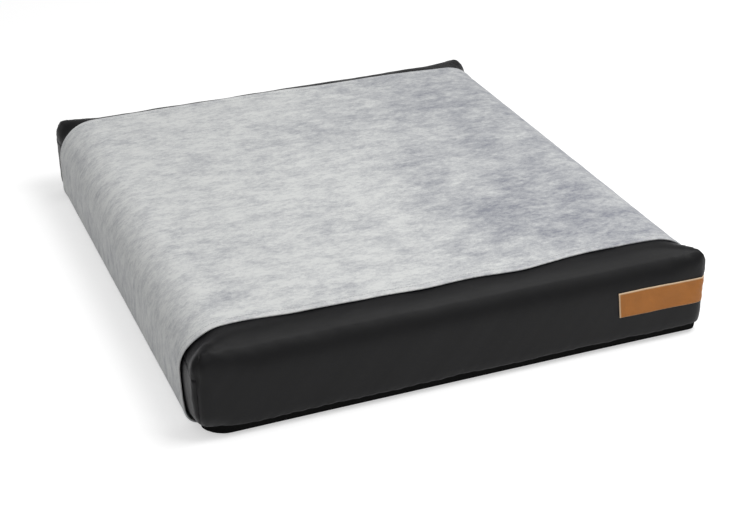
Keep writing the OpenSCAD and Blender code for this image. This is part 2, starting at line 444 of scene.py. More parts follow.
def start_material(name):
    """A material with a Principled shader, and its coordinates."""
    material = bpy.data.materials.new(name)
    f = blank_nodes(material)
    shader = f.add("ShaderNodeBsdfPrincipled")
    f.add("ShaderNodeOutputMaterial", {"Surface": shader.outputs[0]})
    place = f.add("ShaderNodeTexCoord")
    return material, f, shader, place


def set_plain(shader, **values):
    """Numbers that are the same all over the surface, set on the shader's own sockets."""
    names = {"specular": "Specular IOR Level", "sheen": "Sheen Weight", "sheen_rough": "Sheen Roughness",
             "sheen_tint": "Sheen Tint", "metallic": "Metallic"}
    for key, value in values.items():
        shader.inputs[names[key]].default_value = value


def bump(f, shader, height, strength, distance):
    """Small relief, from a height to the shader's normal."""
    node = f.add("ShaderNodeBump", {"Height": height, "Strength": strength, "Distance": distance})
    f.tree.links.new(node.outputs[0], shader.inputs["Normal"])


def join(f, value, shader, socket):
    """Links a value to one of the shader's sockets."""
    f.tree.links.new(value, shader.inputs[socket])


def woven_material(name, colour, threads, depth, roughness, specular, lint, sheen):
    """Plain woven cloth: threads to a metre, their relief, a little uneven dye and some lint."""
    material, f, shader, place = start_material(name)
    solid = place.outputs["Object"]
    weave = place_group(f, "woven_threads", weave_group, {"Place": place.outputs["UV"], "Threads": threads})
    dye = place_group(f, "cloudy", cloud_group, {"Place": solid, "Size": 11.0, "Contrast": 1.6})
    dust = place_group(f, "lint", lint_group, {"Place": solid, "Amount": lint})
    tone = f.mix(dye["Mask"], rgba(colour, 0.80), rgba(colour, 1.22))
    # the dips between the threads are darkened: painted shade
    thread = f.mix(weave["Height"], rgba(colour, 0.45), tone)
    join(f, f.mix(dust["Mask"], thread, (0.30, 0.30, 0.31, 1.0)), shader, "Base Color")
    join(f, f.math("ADD", f.math("MULTIPLY", dye["Mask"], 0.10), roughness), shader, "Roughness")
    set_plain(shader, specular=specular, sheen=sheen, sheen_rough=0.45, sheen_tint=(0.86, 0.80, 1.0, 1.0))
    bump(f, shader, weave["Height"], 0.55, depth)
    return material


# named cloudy patches of the pile: centre x, centre y, radius and strength
PILE_PATCHES = {
    "back_middle": (0.012, 0.208, 0.080, 0.52),
    "streak_top": (0.119, 0.054, 0.045, 0.45),
    "streak_middle": (0.110, -0.010, 0.052, 0.50),
    "streak_low": (0.090, -0.095, 0.060, 0.55),
    "right_of_middle": (0.155, -0.222, 0.095, 0.85),
    "right_rise": (0.242, -0.130, 0.070, 0.50),
    "right": (0.267, -0.222, 0.075, 0.62),
    "front_right": (0.282, -0.324, 0.080, 0.52),
    "front_inner": (0.183, -0.318, 0.065, 0.50),
    "front_middle": (0.075, -0.300, 0.060, 0.42),
    "left_of_middle": (-0.043, -0.265, 0.055, 0.42),
    "middle": (-0.083, -0.150, 0.060, 0.38),
    "left_rise": (-0.134, 0.118, 0.060, 0.34),
    "back_left": (-0.250, 0.259, 0.065, 0.36),
    "left": (-0.210, 0.151, 0.050, 0.34),
    "front_left": (-0.312, -0.303, 0.050, 0.72),
    "front_left_inner": (-0.313, -0.201, 0.050, 0.40),
    "front_edge": (-0.162, -0.342, 0.050, 0.42),
    "right_high": (0.236, 0.049, 0.065, 0.42),
    "back_right": (0.223, 0.212, 0.075, 0.46),
}
PATCH_STRENGTH = 0.66
# painted shade that darkens the whole right side of the pile: where it begins and ends along X, and how much
PAINTED_RIGHT_SHADE = (-0.10, 0.34, 0.66)


def patch_mask(f, place):
    """The sum of the named patches, with ragged edges, and the painted shade over the whole right side."""
    ragged = f.add("ShaderNodeTexNoise", {"Vector": place, "Scale": 7.0, "Detail": 4.0}).outputs["Color"]
    moved = f.add("ShaderNodeVectorMath", {0: ragged, 1: (0.5, 0.5, 0.5)}, operation="SUBTRACT").outputs[0]
    moved = f.add("ShaderNodeVectorMath", {0: moved, "Scale": 0.22}, operation="SCALE").outputs[0]
    at = f.add("ShaderNodeVectorMath", {0: place, 1: moved}, operation="ADD").outputs[0]
    flat = f.stretched(at, (1.0, 1.0, 0.0))
    total = None
    for x, y, radius, strength in PILE_PATCHES.values():
        away = f.add("ShaderNodeVectorMath", {0: flat, 1: (x, y, 0.0)}, operation="DISTANCE")
        spot = f.math("MULTIPLY", f.ramp(away.outputs["Value"], radius * 1.25, radius * 0.1), strength)
        total = spot if total is None else f.math("MAXIMUM", total, spot)
    # painted shade: darker from the middle towards the right side
    start, end, amount = PAINTED_RIGHT_SHADE
    side = f.add("ShaderNodeSeparateXYZ", {0: at}).outputs[0]
    painted_right_shade = f.math("MULTIPLY", f.ramp(side, start, end), amount)
    return f.math("ADD", f.math("MULTIPLY", total, PATCH_STRENGTH), painted_right_shade)


def velour_material(settings):
    """Brushed short pile: clouds of shade where it lies another way, and streaks and specks among them."""
    material, f, shader, place = start_material("velour")
    at = place.outputs["Object"]
    clouds = place_group(f, "cloudy", cloud_group, {"Place": f.stretched(at, (0.8, 1.5, 1.0)), "Size": 6.5,
                                                    "Contrast": 2.4})
    ragged = place_group(f, "cloudy", cloud_group, {"Place": f.stretched(at, (0.8, 1.3, 1.0)), "Size": 24.0,
                                                    "Contrast": 2.4})
    # every size of tuft from three centimetres down to one millimetre shows about as strongly
    tufts = f.noise(f.stretched(at, (0.75, 1.35, 0.55)), 34.0, 5.0, 0.97)
    # the patches also carry the painted shade over the right side
    patches = patch_mask(f, at)
    cloud = f.math("MULTIPLY", f.ramp(clouds["Mask"], 0.46, 0.98), 0.34)
    shade = f.math("MAXIMUM", cloud, f.math("MULTIPLY", patches, f.ramp(ragged["Mask"], -0.55, 0.75)))
    shade = f.math("ADD", shade, f.math("MULTIPLY", f.math("SUBTRACT", ragged["Mask"], 0.5), 0.10))
    shade = f.math("ADD", shade, f.math("MULTIPLY", f.math("SUBTRACT", tufts, 0.5), 3.5))
    shade = f.add("ShaderNodeClamp", {0: shade, 1: -0.25, 2: 1.2}).outputs[0]
    tone = f.add("ShaderNodeMix", data_type="RGBA", clamp_factor=False)
    for socket, value in ((6, rgba(settings.light)), (7, rgba(settings.shade))):
        tone.inputs[socket].default_value = value
    f.tree.links.new(shade, tone.inputs[0])
    join(f, tone.outputs[2], shader, "Base Color")
    join(f, f.math("ADD", f.math("MULTIPLY", shade, -0.12), 0.92), shader, "Roughness")
    set_plain(shader, specular=0.12, sheen=0.22, sheen_rough=0.35, sheen_tint=(0.95, 0.96, 1.0, 1.0))
    pile = f.noise(at, 1100.0, 3.0, 0.8)
    bump(f, shader, f.math("ADD", f.math("MULTIPLY", pile, 0.6), tufts), 0.6, 0.0008)
    return material


def backing_material():
    """The knitted backing on the inner side of the velour."""
    material, f, shader, place = start_material("velour_backing")
    at = f.stretched(place.outputs["UV"], (520.0, 520.0, 1.0))
    wave = f.add("ShaderNodeTexWave", {"Vector": at, "Scale": 1.0, "Distortion": 1.2, "Detail": 2.0})
    rows = wave.outputs[1]
    dye = place_group(f, "cloudy", cloud_group, {"Place": place.outputs["Object"], "Size": 14.0,
                                                 "Contrast": 1.4})
    tone = f.mix(dye["Mask"], (0.44, 0.45, 0.455, 1.0), (0.53, 0.54, 0.54, 1.0))
    # the grooves between the knitted rows are darkened: painted shade
    join(f, f.mix(rows, f.mix(0.35, tone, (0.2, 0.2, 0.2, 1.0)), tone), shader, "Base Color")
    join(f, f.math("ADD", f.math("MULTIPLY", rows, 0.06), 0.86), shader, "Roughness")
    set_plain(shader, specular=0.15)
    bump(f, shader, rows, 0.5, 0.0004)
    return material


def thread_material(name, colour):
    """Twisted sewing thread."""
    material, f, shader, place = start_material(name)
    twist = f.add("ShaderNodeTexWave", {"Vector": place.outputs["Object"], "Scale": 900.0,
                                          "Distortion": 2.0}, bands_direction="DIAGONAL").outputs[1]
    # the twist's grooves are painted darker and its ridges lighter: painted shade and painted light
    join(f, f.mix(twist, rgba(colour, 0.7), rgba(colour, 1.15)), shader, "Base Color")
    join(f, f.math("ADD", f.math("MULTIPLY", twist, 0.15), 0.55), shader, "Roughness")
    set_plain(shader, specular=0.3, sheen=0.1)
    bump(f, shader, twist, 0.4, 0.0002)
    return material


def leather_material(settings):
    """Smooth full-grain leather with pores, and a paler cut edge that carries a painted highlight along its
    top and free end.
    """
    material, f, shader, place = start_material("label_leather")
    at = place.outputs["Object"]
    tone = place_group(f, "cloudy", cloud_group, {"Place": at, "Size": 38.0, "Contrast": 1.8})
    grain = f.add("ShaderNodeTexVoronoi", {"Vector": at, "Scale": 1300.0}, feature="DISTANCE_TO_EDGE")
    pores = f.noise(at, 2400.0, 2.0, 0.6)
    # the cut edge's mask, wider along the top and the free end for a painted highlight
    cut = f.add("ShaderNodeAttribute", attribute_name="cut_edge_and_highlight").outputs["Fac"]
    skin = f.mix(tone["Mask"], rgba(settings.leather, 0.80), rgba(settings.leather, 1.18))
    # the grain's creases are darkened: painted shade
    creases_painted_dark = f.mix(f.ramp(grain.outputs[0], 0.12, 0.0), skin, rgba(settings.leather, 0.55))
    fibre = f.mix(pores, rgba(settings.cut, 0.75), rgba(settings.cut, 1.15))
    join(f, f.mix(cut, creases_painted_dark, fibre), shader, "Base Color")
    join(f, f.math("ADD", f.math("MULTIPLY", cut, 0.30), 0.46), shader, "Roughness")
    set_plain(shader, specular=0.25)
    relief = f.math("ADD", f.ramp(grain.outputs[0], 0.0, 0.25), f.math("MULTIPLY", pores, 0.3))
    bump(f, shader, relief, 0.35, 0.00025)
    return material


def foam_material(name, colour, cells):
    """Open-cell foam."""
    material, f, shader, place = start_material(name)
    at = place.outputs["Object"]
    cell = f.add("ShaderNodeTexVoronoi", {"Vector": at, "Scale": cells}, feature="DISTANCE_TO_EDGE")
    age = place_group(f, "cloudy", cloud_group, {"Place": at, "Size": 9.0, "Contrast": 1.6})
    tone = f.mix(age["Mask"], rgba(colour, 0.88), rgba(colour, 1.04))
    # the hollows of the cells are darkened to half: painted shade inside the pores
    join(f, f.mix(f.ramp(cell.outputs[0], 0.0, 0.3), tone, rgba(colour, 0.5)), shader, "Base Color")
    join(f, f.math("ADD", f.math("MULTIPLY", age["Mask"], 0.08), 0.88), shader, "Roughness")
    set_plain(shader, specular=0.2)
    bump(f, shader, cell.outputs[0], 0.6, 0.0008)
    return material


def liner_material():
    """Thin laminated film with faint creases."""
    material, f, shader, place = start_material("liner_film")
    at = place.outputs["Object"]
    crease = f.noise(f.stretched(at, (9.0, 14.0, 30.0)), 1.0, 6.0, 0.65)
    dye = place_group(f, "cloudy", cloud_group, {"Place": at, "Size": 7.0, "Contrast": 1.2})
    join(f, f.mix(dye["Mask"], (0.66, 0.70, 0.72, 1.0), (0.78, 0.81, 0.82, 1.0)), shader, "Base Color")
    join(f, f.math("ADD", f.math("MULTIPLY", crease, 0.3), 0.22), shader, "Roughness")
    set_plain(shader, specular=0.5)
    bump(f, shader, crease, 0.5, 0.002)
    return material


def bristle_material(name, colour, scale, depth):
    """Hook or loop tape, seen as a dense field of small ends."""
    material, f, shader, place = start_material(name)
    at = place.outputs["UV"]
    ends = f.add("ShaderNodeTexVoronoi", {"Vector": at, "Scale": scale, "Randomness": 0.35})
    rows = place_group(f, "woven_threads", weave_group, {"Place": at, "Threads": 1400.0})
    # the tops of the ends are painted lighter and the ground between the rows darker: painted light and
    # painted shade
    top = f.ramp(ends.outputs["Distance"], 0.55, 0.05)
    dark = f.mix(rows["Height"], rgba(colour, 0.35), rgba(colour, 0.7))
    join(f, f.mix(top, dark, rgba(colour, 1.25)), shader, "Base Color")
    join(f, f.math("ADD", f.math("MULTIPLY", top, -0.2), 0.75), shader, "Roughness")
    set_plain(shader, specular=0.3)
    bump(f, shader, top, 0.8, depth)
    return material


def nylon_material():
    """Moulded nylon teeth, worn lighter and rougher in patches."""
    material, f, shader, place = start_material("zip_nylon")
    at = place.outputs["Object"]
    wear = place_group(f, "cloudy", cloud_group, {"Place": at, "Size": 60.0, "Contrast": 2.0})
    join(f, f.mix(wear["Mask"], (0.030, 0.031, 0.033, 1.0), (0.055, 0.056, 0.06, 1.0)), shader, "Base Color")
    join(f, f.math("ADD", f.math("MULTIPLY", wear["Mask"], 0.2), 0.28), shader, "Roughness")
    set_plain(shader, specular=0.5)
    bump(f, shader, f.noise(at, 1800.0), 0.15, 0.0001)
    return material


def metal_material():
    """Plated die-cast metal, rubbed lighter and rougher in patches."""
    material, f, shader, place = start_material("zip_metal")
    at = place.outputs["Object"]
    rub = place_group(f, "cloudy", cloud_group, {"Place": at, "Size": 160.0, "Contrast": 2.4})
    join(f, f.mix(rub["Mask"], (0.40, 0.41, 0.43, 1.0), (0.62, 0.62, 0.63, 1.0)), shader, "Base Color")
    join(f, f.math("ADD", f.math("MULTIPLY", rub["Mask"], 0.22), 0.22), shader, "Roughness")
    set_plain(shader, metallic=1.0)
    bump(f, shader, f.noise(at, 2600.0), 0.12, 0.0001)
    return material


def rubber_material():
    """Soft moulded grip dots."""
    material, f, shader, place = start_material("grip_rubber")
    at = place.outputs["Object"]
    dust = place_group(f, "lint", lint_group, {"Place": at, "Amount": 0.8})
    join(f, f.mix(dust["Mask"], (0.018, 0.018, 0.019, 1.0), (0.2, 0.2, 0.2, 1.0)), shader, "Base Color")
    join(f, f.math("ADD", f.math("MULTIPLY", dust["Mask"], 0.3), 0.5), shader, "Roughness")
    set_plain(shader, specular=0.4)
    return material


# ---- the mattress's own shape ----

# the rays that find the surface start inside, on a flat core this far in from the walls
CORE_INSET = 0.065
CORE_LOW = 0.025
CORE_HIGH = 0.080
# the base cloth clears the floor by the height of its grip dots
BASE_CLEAR = 0.0008
MARGIN_STEP = 0.014
# the mattress is fuller from the cover's edge to its own ends
TIP_REACH = 0.050
# its upright corners are sharp on the walls and rounder on the base, most of all at the front left
CORNER_PLAN_R = 0.016
BASE_PLAN_R = 0.022
LEFT_BASE_PLAN_R = 0.066
BASE_EDGE_R = 0.012
# the deepest that a seam or a fold may go, which leaves room for the liner
DEEPEST = 0.0043
# the liner and the foams lie this far inside the case's outer face
LINER_INSET = 0.0062
FOAM_INSET = 0.0078
FOAM_GAP = 0.0003
ZIP_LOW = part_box("zip_tape_lower")[0]
ZIP_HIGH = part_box("zip_tape_upper")[1]


def slab_distance(u, z, hw, z0, z1, bottom_r, top_r):
    """How far points are outside a rounded slab that is seen end on."""
    middle, half = (z0 + z1) / 2, (z1 - z0) / 2
    r = np.where(z > middle, top_r, bottom_r)
    a = np.abs(u) - (hw - r)
    b = np.abs(z - middle) - (half - r)
    return np.minimum(np.maximum(a, b), 0) + np.hypot(np.maximum(a, 0), np.maximum(b, 0)) - r


def corner_fullness(x, y):
    """From 0 to 1, how far a place is past the cover's edges, and how near it also is to a corner."""
    past_cover = smooth((np.abs(y) - (CASE_HD - TIP_REACH)) / (0.5 * TIP_REACH))
    return past_cover, past_cover * smooth((np.abs(x) - (CASE_HW - 0.085)) / 0.075)


def shape_distance(p, inset, settings):
    """How far points are outside the soft mattress, drawn in by the inset."""
    x, y, z = p[:, 0], p[:, 1] - CASE_Y, p[:, 2]
    along_x, along_y = np.abs(x) / CASE_HW, np.abs(y) / CASE_HD
    fall = settings.crown * (1 - (1 - along_x ** 4) * (1 - along_y ** 4))
    top = CASE_TOP - fall
    # the base's margins lie on the cover's tucked ends, and past those they sink to the floor
    margin = smooth((np.abs(x) - CORE_HW + MARGIN_STEP / 2) / MARGIN_STEP)
    margin = margin * (1 - smooth((np.abs(y) - (CASE_HD - 0.046)) / 0.012))
    bottom = BASE_CLEAR + (MARGIN_Z - BASE_CLEAR) * margin
    under = settings.undercut * smooth((BASE_SEAM_Z - z) / 0.002)
    sides = settings.pull_in * (1 - along_y ** 4) + 0.5 * under
    ends = settings.pull_in * (1 - along_x ** 4) * (y < 0) + under
    past_cover, tip = corner_fullness(x, y)
    side_r = SIDE_TOP_R + (settings.tip_side_r - SIDE_TOP_R) * past_cover
    end_r = END_TOP_R + (settings.tip_end_r - END_TOP_R) * tip
    across = slab_distance(x, z, CASE_HW - sides, bottom, top, SIDE_BOTTOM_R, side_r)
    along = slab_distance(y, z, CASE_HD - ends, BASE_CLEAR, top, BASE_EDGE_R, end_r)
    below = smooth((BASE_SEAM_Z + 0.010 - z) / 0.012)
    base_r = np.where((x < 0) & (y < 0), LEFT_BASE_PLAN_R, BASE_PLAN_R)
    plan_r = CORNER_PLAN_R + (base_r - CORNER_PLAN_R) * below
    plan = slab_distance(x, y, CASE_HW - 0.5 * under, under - CASE_HD, CASE_HD - under, plan_r, plan_r)
    return np.maximum(np.maximum(across, along), plan) + inset


def onto_shape(box_points, inset, settings):
    """Moves points of a sharp box along rays onto the soft mattress."""
    core = np.stack([np.clip(box_points[:, 0], CORE_INSET - CASE_HW, CASE_HW - CORE_INSET),
                     np.clip(box_points[:, 1], FRONT_Y + CORE_INSET, BACK_Y - CORE_INSET),
                     np.clip(box_points[:, 2], CORE_LOW, CORE_HIGH)], 1)
    inner, outer = np.zeros(len(core)), np.full(len(core), 1.02)
    for _ in range(36):
        t = (inner + outer) / 2
        outside = shape_distance(core + (box_points - core) * t[:, None], inset, settings) > 0
        outer, inner = np.where(outside, t, outer), np.where(outside, inner, t)
    return core + (box_points - core) * ((inner + outer) / 2)[:, None]


def row_for_seam(z):
    """The height on the sharp box whose ray meets the side wall at height z."""
    rise = z - (CASE_TOP - SIDE_TOP_R)
    x = CASE_HW - SIDE_TOP_R + math.sqrt(SIDE_TOP_R ** 2 - max(rise, 0) ** 2)
    start = CASE_HW - CORE_INSET
    return CORE_HIGH + CORE_INSET * (z - CORE_HIGH) / (x - start)


class BoxGrid:
    """A closed box of cells whose lines follow the mattress's seams."""

    def __init__(self, xs, ys, zs):
        self.xs, self.ys, self.zs = xs, ys, zs
        self.index, self.box_points, self.faces, self.walls = {}, [], [], []
        nx, ny, nz = len(xs) - 1, len(ys) - 1, len(zs) - 1
        for i in range(nx):
            for j in range(ny):
                self.cell("top", [(i, j, nz), (i + 1, j, nz), (i + 1, j + 1, nz), (i, j + 1, nz)])
                self.cell("base", [(i, j, 0), (i, j + 1, 0), (i + 1, j + 1, 0), (i + 1, j, 0)])
        for i in range(nx):
            for k in range(nz):
                self.cell("front", [(i, 0, k), (i + 1, 0, k), (i + 1, 0, k + 1), (i, 0, k + 1)])
                self.cell("back", [(i, ny, k), (i, ny, k + 1), (i + 1, ny, k + 1), (i + 1, ny, k)])
        for j in range(ny):
            for k in range(nz):
                self.cell("right", [(nx, j, k), (nx, j + 1, k), (nx, j + 1, k + 1), (nx, j, k + 1)])
                self.cell("left", [(0, j, k), (0, j, k + 1), (0, j + 1, k + 1), (0, j + 1, k)])
        self.box_points = np.array(self.box_points)

    def cell(self, wall, corners):
        """Adds one face of a wall."""
        face = []
        for c in corners:
            if c not in self.index:
                self.index[c] = len(self.box_points)
                self.box_points.append((self.xs[c[0]], self.ys[c[1]], self.zs[c[2]]))
            face.append(self.index[c])
        self.faces.append(face)
        self.walls.append(wall)

    def uvs(self, points):
        """Places on the flat cloth, in metres, for each corner of each face."""
        def run(keys):
            line = points[[self.index[k] for k in keys]]
            return np.concatenate([[0], np.cumsum(np.linalg.norm(np.diff(line, axis=0), axis=1))])
        nx, ny, nz = len(self.xs) - 1, len(self.ys) - 1, len(self.zs) - 1
        x_run = run([(i, ny // 2, nz) for i in range(nx + 1)])
        y_run = run([(nx // 2, j, nz) for j in range(ny + 1)])
        side_run = run([(nx, ny // 2, k) for k in range(nz + 1)])
        end_run = run([(nx // 2, 0, k) for k in range(nz + 1)])
        places = {v: k for k, v in self.index.items()}
        flat = {
            "top": lambda i, j, k: (x_run[i], y_run[j]),
            "base": lambda i, j, k: (x_run[i], y_run[j]),
            "front": lambda i, j, k: (x_run[i], end_run[k] - end_run[-1]),
            "back": lambda i, j, k: (x_run[i], y_run[-1] + end_run[-1] - end_run[k]),
            "right": lambda i, j, k: (x_run[-1] + side_run[-1] - side_run[k], y_run[j]),
            "left": lambda i, j, k: (side_run[k] - side_run[-1], y_run[j]),
        }
        return np.array([flat[wall](*places[v]) for face, wall in zip(self.faces, self.walls) for v in face])


PANELS = ["case_base_panel", "case_top_panel", "case_left_panel", "case_right_panel", "case_back_panel",
          "zip_opening"]
BASE_ROW = BASE_SEAM_Z
SIDE_ROW = row_for_seam(SIDE_SEAM_Z)


def panel_of(wall, centre):
    """The panel that a face of the sharp box belongs to."""
    x, _, z = centre
    if wall == "base" or (wall != "top" and z < BASE_ROW):
        return "case_base_panel"
    if wall in ("left", "right") and z < SIDE_ROW:
        return f"case_{wall}_panel"
    if wall == "back" and z < ZIP_HIGH.z:
        slot = abs(x) < ZIP_HIGH.x and z > ZIP_LOW.z
        return "zip_opening" if slot else "case_back_panel"
    return "case_top_panel"


def mattress_grid(cell):
    """The box of cells for the case, closer together at the corners and along the lip over the base."""
    corner = (0.0025, 0.0065)
    lip = (-0.0030, -0.0012, 0.0, 0.0020)
    xs = stations(-CASE_HW, CASE_HW, cell, (ZIP_LOW.x, ZIP_HIGH.x, *[CASE_HW - c for c in corner],
                                            *[c - CASE_HW for c in corner]))
    ys = stations(FRONT_Y, BACK_Y, cell, [FRONT_Y + c for c in corner] + [BACK_Y - c for c in corner])
    zs = stations(0.0, CASE_TOP, cell, (*[BASE_ROW + d for d in lip], ZIP_LOW.z, ZIP_HIGH.z, SIDE_ROW))
    return BoxGrid(xs, ys, zs)


def panel_tag(panel):
    """The plain material that marks a panel's faces until they are cut apart."""
    return bpy.data.materials.get("tag_" + panel) or bpy.data.materials.new("tag_" + panel)


def grid_object(name, grid, points):
    """A plain object of a grid, with its panels as material slots, for modifiers to work on."""
    mesh = bpy.data.meshes.new(name)
    mesh.from_pydata([tuple(p) for p in points], [], grid.faces)
    layer = mesh.uv_layers.new(name="cloth")
    layer.uv.foreach_set("vector", grid.uvs(points).astype(np.float32).ravel())
    centres = np.array([grid.box_points[f].mean(0) for f in grid.faces])
    for panel in PANELS:
        mesh.materials.append(panel_tag(panel))
    mesh.polygons.foreach_set("material_index",
                              [PANELS.index(panel_of(w, c)) for w, c in zip(grid.walls, centres)])
    smooth_shading(mesh)
    mesh.update()
    return in_scene(name, mesh)


def seam_points(mesh):
    """The points that two panels share."""
    owner, on_seam = {}, set()
    for polygon in mesh.polygons:
        for v in polygon.vertices:
            if owner.setdefault(v, polygon.material_index) != polygon.material_index:
                on_seam.add(v)
    return on_seam


def inflate(made, settings):
    """Fills the sewn case by a short cloth simulation under pressure: where it was, and how it moved."""
    start = vertex_values(made.data, "co")
    seams = made.vertex_groups.new(name="seams")
    seams.add(sorted(seam_points(made.data)), 1.0, "REPLACE")
    modifier = made.modifiers.new("Cloth", "CLOTH")
    cloth = modifier.settings
    cloth.quality = 4
    cloth.mass = 0.25
    cloth.tension_stiffness = 12
    cloth.compression_stiffness = 12
    cloth.shear_stiffness = 6
    cloth.bending_stiffness = 0.4
    cloth.use_pressure = True
    cloth.uniform_pressure_force = settings.pressure
    cloth.effector_weights.gravity = 0
    cloth.vertex_group_shrink = "seams"
    cloth.shrink_min = -0.012
    cloth.shrink_max = 0.012
    modifier.point_cache.frame_start = 1
    modifier.point_cache.frame_end = settings.frames
    scene = bpy.context.scene
    for step in range(1, settings.frames + 1):
        scene.frame_set(step)
    result = made.evaluated_get(bpy.context.evaluated_depsgraph_get())
    moved = vertex_values(result.data, "co") - start
    made.modifiers.remove(modifier)
    scene.frame_set(1)
    return start, moved


def capped(moved, cap):
    """Movement that eases off towards a cap."""
    size = np.linalg.norm(moved, axis=1)
    return moved * (cap * np.tanh(size / cap) / np.maximum(size, 1e-9))[:, None]


def within_shape(points):
    """Draws points back where they stand further out than the frame's mattress."""
    x, y, z = points[:, 0], points[:, 1] - CASE_Y, points[:, 2]
    over = slab_distance(x, z, CASE_HW, MARGIN_Z, CASE_TOP, SIDE_BOTTOM_R, SIDE_TOP_R)
    over = over * (1 - corner_fullness(x, y)[0])
    upper = (over > 0) & (z > SIDE_BOTTOM_R)
    inward = np.stack([-np.sign(x) * smooth((np.abs(x) - (CASE_HW - SIDE_TOP_R)) / SIDE_TOP_R),
                       np.zeros(len(x)), -smooth((z - (CASE_TOP - SIDE_TOP_R)) / SIDE_TOP_R)], 1)
    inward /= np.maximum(np.linalg.norm(inward, axis=1), 1e-9)[:, None]
    return points + inward * np.where(upper, over, 0)[:, None]


def seam_distance(mesh):
    """How far each point is from the nearest seam between two panels, for points near one."""
    on_seam = seam_points(mesh)
    points = vertex_values(mesh, "co")
    marks = [points[v] for v in sorted(on_seam)]
    marks += [(points[e.vertices[0]] + points[e.vertices[1]]) / 2 for e in mesh.edges
              if e.vertices[0] in on_seam and e.vertices[1] in on_seam]
    tree = KDTree(len(marks))
    for i, m in enumerate(marks):
        tree.insert(m, i)
    tree.balance()
    return np.array([tree.find(p)[2] for p in points])


# the upright corner seams end in tips at this height
TIP_Z = 0.128


def tip_nearness(points, reach):
    """1 at the four upper corners of the mattress, falling to 0 at the given reach."""
    x, y = np.abs(points[:, 0]), np.abs(points[:, 1] - CASE_Y)
    away = np.linalg.norm(np.stack([x - SEAM_X, y - (CASE_HD - (CASE_HW - SEAM_X)),
                                    points[:, 2] - TIP_Z], 1), axis=1)
    return smooth(1 - away / reach)


def corner_places(points):
    """Places beside the mitre of the nearest corner: across it (+ on the side wall), and the height."""
    in_x, in_y = CASE_HW - np.abs(points[:, 0]), CASE_HD - np.abs(points[:, 1] - CASE_Y)
    return (in_y - in_x) / math.sqrt(2), in_x + in_y, points[:, 2]


def sew_details(made, settings):
    """Grooves along the seams, small puckers beside them and short creases and a fold at the corners."""
    mesh = made.data
    points, normals = vertex_values(mesh, "co"), vertex_values(mesh, "normal")
    away = seam_distance(mesh)
    mitre, inward, z = corner_places(points)
    near_corner = smooth(1 - inward / 0.09)
    front_left = (points[:, 0] < 0) * (points[:, 1] < CASE_Y)
    # the side seams and the base seam lie flat, and the upright seams run on up the corners to their tips
    flat_side = smooth(1 - np.abs(z - SIDE_SEAM_Z) / 0.012)
    flat_base = smooth(1 - (z - BASE_SEAM_Z) / 0.008)
    weight = (1 - 0.9 * flat_side) * (1 - 0.7 * flat_base)
    to_tip = smooth((z - SIDE_SEAM_Z + 0.012) / 0.010) * smooth((TIP_Z + 0.006 - z) / 0.008)
    # the seam at the front left corner was sewn with a fold; the others close neatly
    folded = 0.15 + 0.85 * front_left
    upright = 1.3 * bell(mitre, 0.0032) * near_corner * (0.35 + 0.65 * folded)
    pucker = 1 + 0.35 * ripple(points, 620.0) + 0.2 * ripple(points, 260.0, 1.3)
    groove = settings.seam_dip * np.maximum(bell(away, 0.0042) * weight, upright * to_tip) * pucker
    pit = 0.0030 * folded * bell(mitre, 0.0055) * bell(z - TIP_Z, 0.0050) * near_corner
    fold = 0.0026 * bell(mitre - 0.0095 + 0.03 * (z - 0.085), 0.0050) * near_corner
    fold *= folded * smooth((z - 0.040) / 0.030) * smooth((TIP_Z + 0.004 - z) / 0.02)
    # the cloth gathers along its seams, creases at the corners and lies a little loose everywhere
    gather = 0.0007 * bell(away, 0.013) * ripple(points, 300.0, 0.4)
    creases = 0.0016 * tip_nearness(points, 0.085) * ripple(points, 150.0, 2.2)
    loose = 0.0008 * ripple(points, 26.0, 0.9) + 0.0004 * ripple(points, 70.0, 1.7)
    # nothing moves beside the zip, and little does next to the floor
    from_zip = np.abs(z - (ZIP_LOW.z + ZIP_HIGH.z) / 2)
    off_zip = 1 - smooth(1 - from_zip / 0.03) * (points[:, 1] > BACK_Y - 0.01)
    calm = off_zip * smooth((z - 0.004) / 0.012)
    moved = points + normals * ((creases + loose + gather + fold) * calm - (groove + pit) * off_zip)[:, None]
    # the lip over the base is wavy, and at the front left corner its seam draws it up
    wavy = 0.0013 * bell(z - BASE_SEAM_Z, 0.009) * ripple(points, 31.0, 0.2)
    moved[:, 2] += wavy * (points[:, 1] < BACK_Y - 0.03)
    moved[:, 2] += 0.0040 * bell(inward, 0.045) * bell(z - 0.020, 0.014) * front_left
    too_deep = np.maximum(-shape_distance(moved, 0.0, settings) - DEEPEST, 0) * (z > BASE_SEAM_Z)
    return moved + normals * np.minimum(too_deep, 0.004)[:, None]


def refine(made):
    """Subdivides an object once, for good."""
    subdivision = made.modifiers.new("Subdivision", "SUBSURF")
    subdivision.levels = 1
    subdivision.render_levels = 1
    subdivision.uv_smooth = "NONE"
    result = made.evaluated_get(bpy.context.evaluated_depsgraph_get())
    mesh = bpy.data.meshes.new_from_object(result)
    made.modifiers.remove(subdivision)
    made.data = mesh


def panel_piece(name, mesh, points, tag):
    """A piece made of one panel's faces."""
    faces = [p for p in mesh.polygons if p.material_index == tag]
    used = sorted({v for f in faces for v in f.vertices})
    order = {v: i for i, v in enumerate(used)}
    uv = mesh.uv_layers["cloth"].uv
    uvs = [tuple(uv[loop].vector) for f in faces for loop in f.loop_indices]
    corners = [[order[v] for v in f.vertices] for f in faces]
    return new_object(name, points[used], corners, "mattress", uvs)


